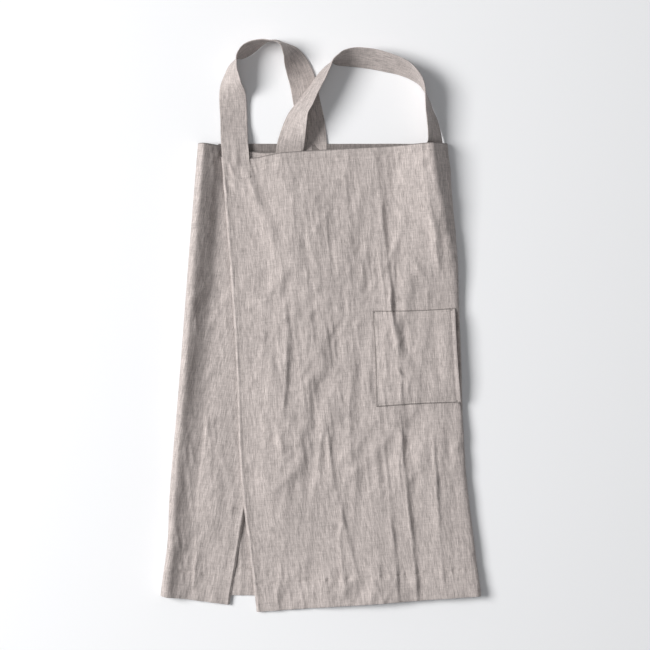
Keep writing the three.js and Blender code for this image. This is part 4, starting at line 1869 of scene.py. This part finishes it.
@dataclass
class Pocket:
    """A patch sewn to the outer flap on three sides, open towards the right fold."""

    flap: ClothLayer
    left: float = 0.0886
    right: float = MOUTH_X
    top: float = 0.0231
    height: float = POCKET_HEIGHT
    slant_left: float = 0.0066
    slant_right: float = MOUTH_SLANT
    rise_top: float = 0.0047
    rise_bottom: float = 0.0074
    bow_side: float = 0.0016
    bow_end: float = 0.0014
    sewn_lift: float = 0.0021  # how far the pocket lies above the flap where it is sewn to it
    body: float = 0.0020  # how far it stands off inside its seams
    gape: float = 0.0048  # how much further its mouth stands open
    from_fold: float = 0.013  # the flap's height is taken no nearer to the fold than this
    step: float = 0.002
    edge_stitch: float = 0.0022  # how far the stitches lie inside the sewn edges
    mouth_stitch: float = 0.0148
    turned: TurnedHem = TurnedHem(0.011)
    mouth: TurnedHem = TurnedHem(0.016)

    @property
    def width(self) -> float:
        """The pocket's width."""
        return self.right - self.left

    def surface(self, u: Array, v: Array, lift: Array | float = 0.0) -> Array:
        """The pocket's outer face, over the flap.

        Args:
            u: From the sewn side (0) to the mouth (1).
            v: From the top (0) to the bottom (1).
            lift: How far to raise the face.

        Returns:
            Points of shape (..., 3).
        """
        cu, cv = np.clip(u, 0, 1), np.clip(v, 0, 1)
        slant = self.slant_left + (self.slant_right - self.slant_left) * u
        rise = self.rise_top + (self.rise_bottom - self.rise_top) * v
        bow = self.bow_side * np.sin(cv * math.pi) * (1 - 2 * u)
        x = self.left + self.width * u + slant * v + bow
        y = self.top - self.height * v + rise * u - self.bow_end * np.sin(cu * math.pi) * (1 - 2 * v)
        under_x = np.minimum(x, self.flap.fold_x(y) - self.from_fold)
        z = self.flap.height_at(under_x, y) + self.sewn_lift + self.swell(cu, cv)
        return np.stack([x, y, z + self.pressed(x, y, cu, cv) + lift], axis=-1)

    def swell(self, u: Array, v: Array) -> Array:
        """How far the pocket stands off the flap inside its seams, and gapes at its mouth.

        Args:
            u: From the sewn side (0) to the mouth (1).
            v: From the top (0) to the bottom (1).

        Returns:
            The heights there.
        """
        inside = smooth(u, 0.0, 0.13) * smooth(v, 0.0, 0.10) * smooth(1 - v, 0.0, 0.10)
        opening = smooth(u, 0.72, 1.0) * smooth(v, 0.0, 0.30) * smooth(1 - v, 0.0, 0.30)
        return self.body * inside + self.gape * opening

    def pressed(self, x: Array, y: Array, u: Array, v: Array) -> Array:
        """The pocket's own folds, the grooves along its stitching and the mouth's rolled edge.

        Args:
            x: Places across the apron.
            y: Places along it.
            u: The same places, from the sewn side (0) to the mouth (1).
            v: The same places, from the top (0) to the bottom (1).

        Returns:
            The heights there.
        """
        own = sum(part.at(x, y) for part in POCKET_FOLDS)
        stitched = hump(u * self.width - self.edge_stitch, 0.0016) * (u < 0.5)
        for from_end in (v * self.height, (1 - v) * self.height):
            stitched = stitched + hump(from_end - self.edge_stitch, 0.0016)
        from_mouth = (1 - u) * self.width
        groove = 0.0011 * stitched + 0.0012 * hump(from_mouth - 0.0062, 0.0022)
        return own - groove + 0.0006 * hump(from_mouth - 0.0010, 0.0022)

    def hemmed(self, u: Array, v: Array) -> Array:
        """The pocket with its turned edges; u and v are in metres outside 0 to 1.

        Args:
            u: Places across the grid.
            v: Places along it.

        Returns:
            Points of shape (..., 3).
        """
        free_u, in_u = round_hems(u, self.turned, self.mouth, self.width)
        free_v, in_v = round_hems(v, self.turned, self.turned, self.height)
        return self.surface(free_u, free_v, np.minimum(in_u, in_v))

    def chart(self, u: Array, v: Array) -> tuple[Array, Array]:
        """The cloth's own coordinates."""
        across = np.clip(u, 0, 1) * self.width + past(u) + POCKET_CHART
        return across, -(np.clip(v, 0, 1) * self.height + past(v))

    def build(self, finishes: Finishes) -> None:
        """Makes the pocket and its stitching, dressed in the apron's materials.

        Args:
            finishes: The apron's materials.
        """
        u = np.linspace(0, 1, round(self.width / self.step) + 1)
        v = np.linspace(0, 1, round(self.height / self.step) + 1)
        u, v = with_hems(u, self.turned, self.mouth), with_hems(v, self.turned, self.turned)
        piece = grid_piece("pocket_cloth", u, v, self.hemmed, self.chart)
        thicken(piece, CLOTH)
        finishes.dress(piece, Cut.POCKET)
        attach(piece, "outer_flap")
        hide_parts("pocket_patch", "pocket_mouth_hem")
        report(piece)
        stitches = self.stitching().build("pocket_stitches", finishes)
        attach(stitches, "outer_flap")
        report(stitches)

    def stitching(self) -> Seam:
        """Stitching along the three sewn sides and along the mouth's hem.

        Returns:
            The seam.
        """
        seam = Seam()
        inset_u, inset_v = self.edge_stitch / self.width, self.edge_stitch / self.height
        side, line = np.linspace(inset_v, 1 - inset_v, 120), np.linspace(inset_u, 1.0, 120)
        for u, v in ((inset_u, side), (line, inset_v), (line, 1 - inset_v),
                     (1 - self.mouth_stitch / self.width, side)):
            points = self.surface(*np.broadcast_arrays(u, v), STITCH_LIFT)
            seam.run(points, np.tile([0.0, 0.0, 1.0], (len(points), 1)))
        return seam


# ---- The studio ----------------------------------------------------------------------------------


@dataclass(frozen=True)
class Studio:
    """A pale table, soft light from the left, and a camera straight above."""

    camera_height: float = 3.07
    lens: float = 100.0
    centre: tuple[float, float] = (0.0075, 0.0)

    def table(self) -> None:
        """The pale table top, which isn't part of the apron."""
        bm = bmesh.new()
        bmesh.ops.create_grid(bm, x_segments=1, y_segments=1, size=6.0)
        mesh = mesh_of(bm, "table")
        paint = bpy.data.materials.new("pale_table")
        paint.use_nodes = True
        shader = paint.node_tree.nodes["Principled BSDF"]
        shader.inputs["Base Color"].default_value = (0.90, 0.90, 0.908, 1.0)
        shader.inputs["Roughness"].default_value = 0.75
        shader.inputs["Specular IOR Level"].default_value = 0.15
        mesh.materials.append(paint)
        in_scene("table", mesh)

    def light(self, name: str, place: Point, size: float, power: float) -> None:
        """One square soft light, which faces the apron's middle.

        Args:
            name: The light's name.
            place: Where it hangs.
            size: The length of its side.
            power: Its power in watts.
        """
        lamp = bpy.data.lights.new(name, "AREA")
        lamp.shape, lamp.size, lamp.energy = "SQUARE", size, power
        holder = in_scene(name, lamp)
        holder.location = place
        holder.rotation_euler = (-Vector(place)).to_track_quat("-Z", "Y").to_euler()

    def build(self) -> None:
        """Sets out the table, the lights and the camera."""
        scene = bpy.context.scene
        self.table()
        self.light("window_key", (-4.3, 0.75, 3.8), 2.6, 398.0)
        self.light("ceiling_fill", (0.3, -0.2, 3.6), 2.4, 12.0)
        world = bpy.data.worlds.new("pale_room")
        world.use_nodes = True
        room = world.node_tree.nodes["Background"]
        room.inputs["Color"].default_value = (0.93, 0.96, 1.0, 1.0)
        room.inputs["Strength"].default_value = 0.19
        scene.world = world
        lens = bpy.data.cameras.new("camera")
        lens.lens, lens.sensor_width = self.lens, 36.0
        scene.camera = in_scene("camera", lens)
        scene.camera.location = (*self.centre, self.camera_height)
        scene.view_settings.view_transform = "Standard"


def main() -> None:
    """Builds the apron on its table."""
    logging.basicConfig(level=logging.INFO, format="%(message)s")
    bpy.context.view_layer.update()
    Studio().build()
    finishes = Finishes()
    body = BodyCloth(finishes)
    body.build()
    for strap in straps(body):
        strap.build(finishes)
    Pocket(body.outer).build(finishes)


if __name__ == "__main__":
    main()
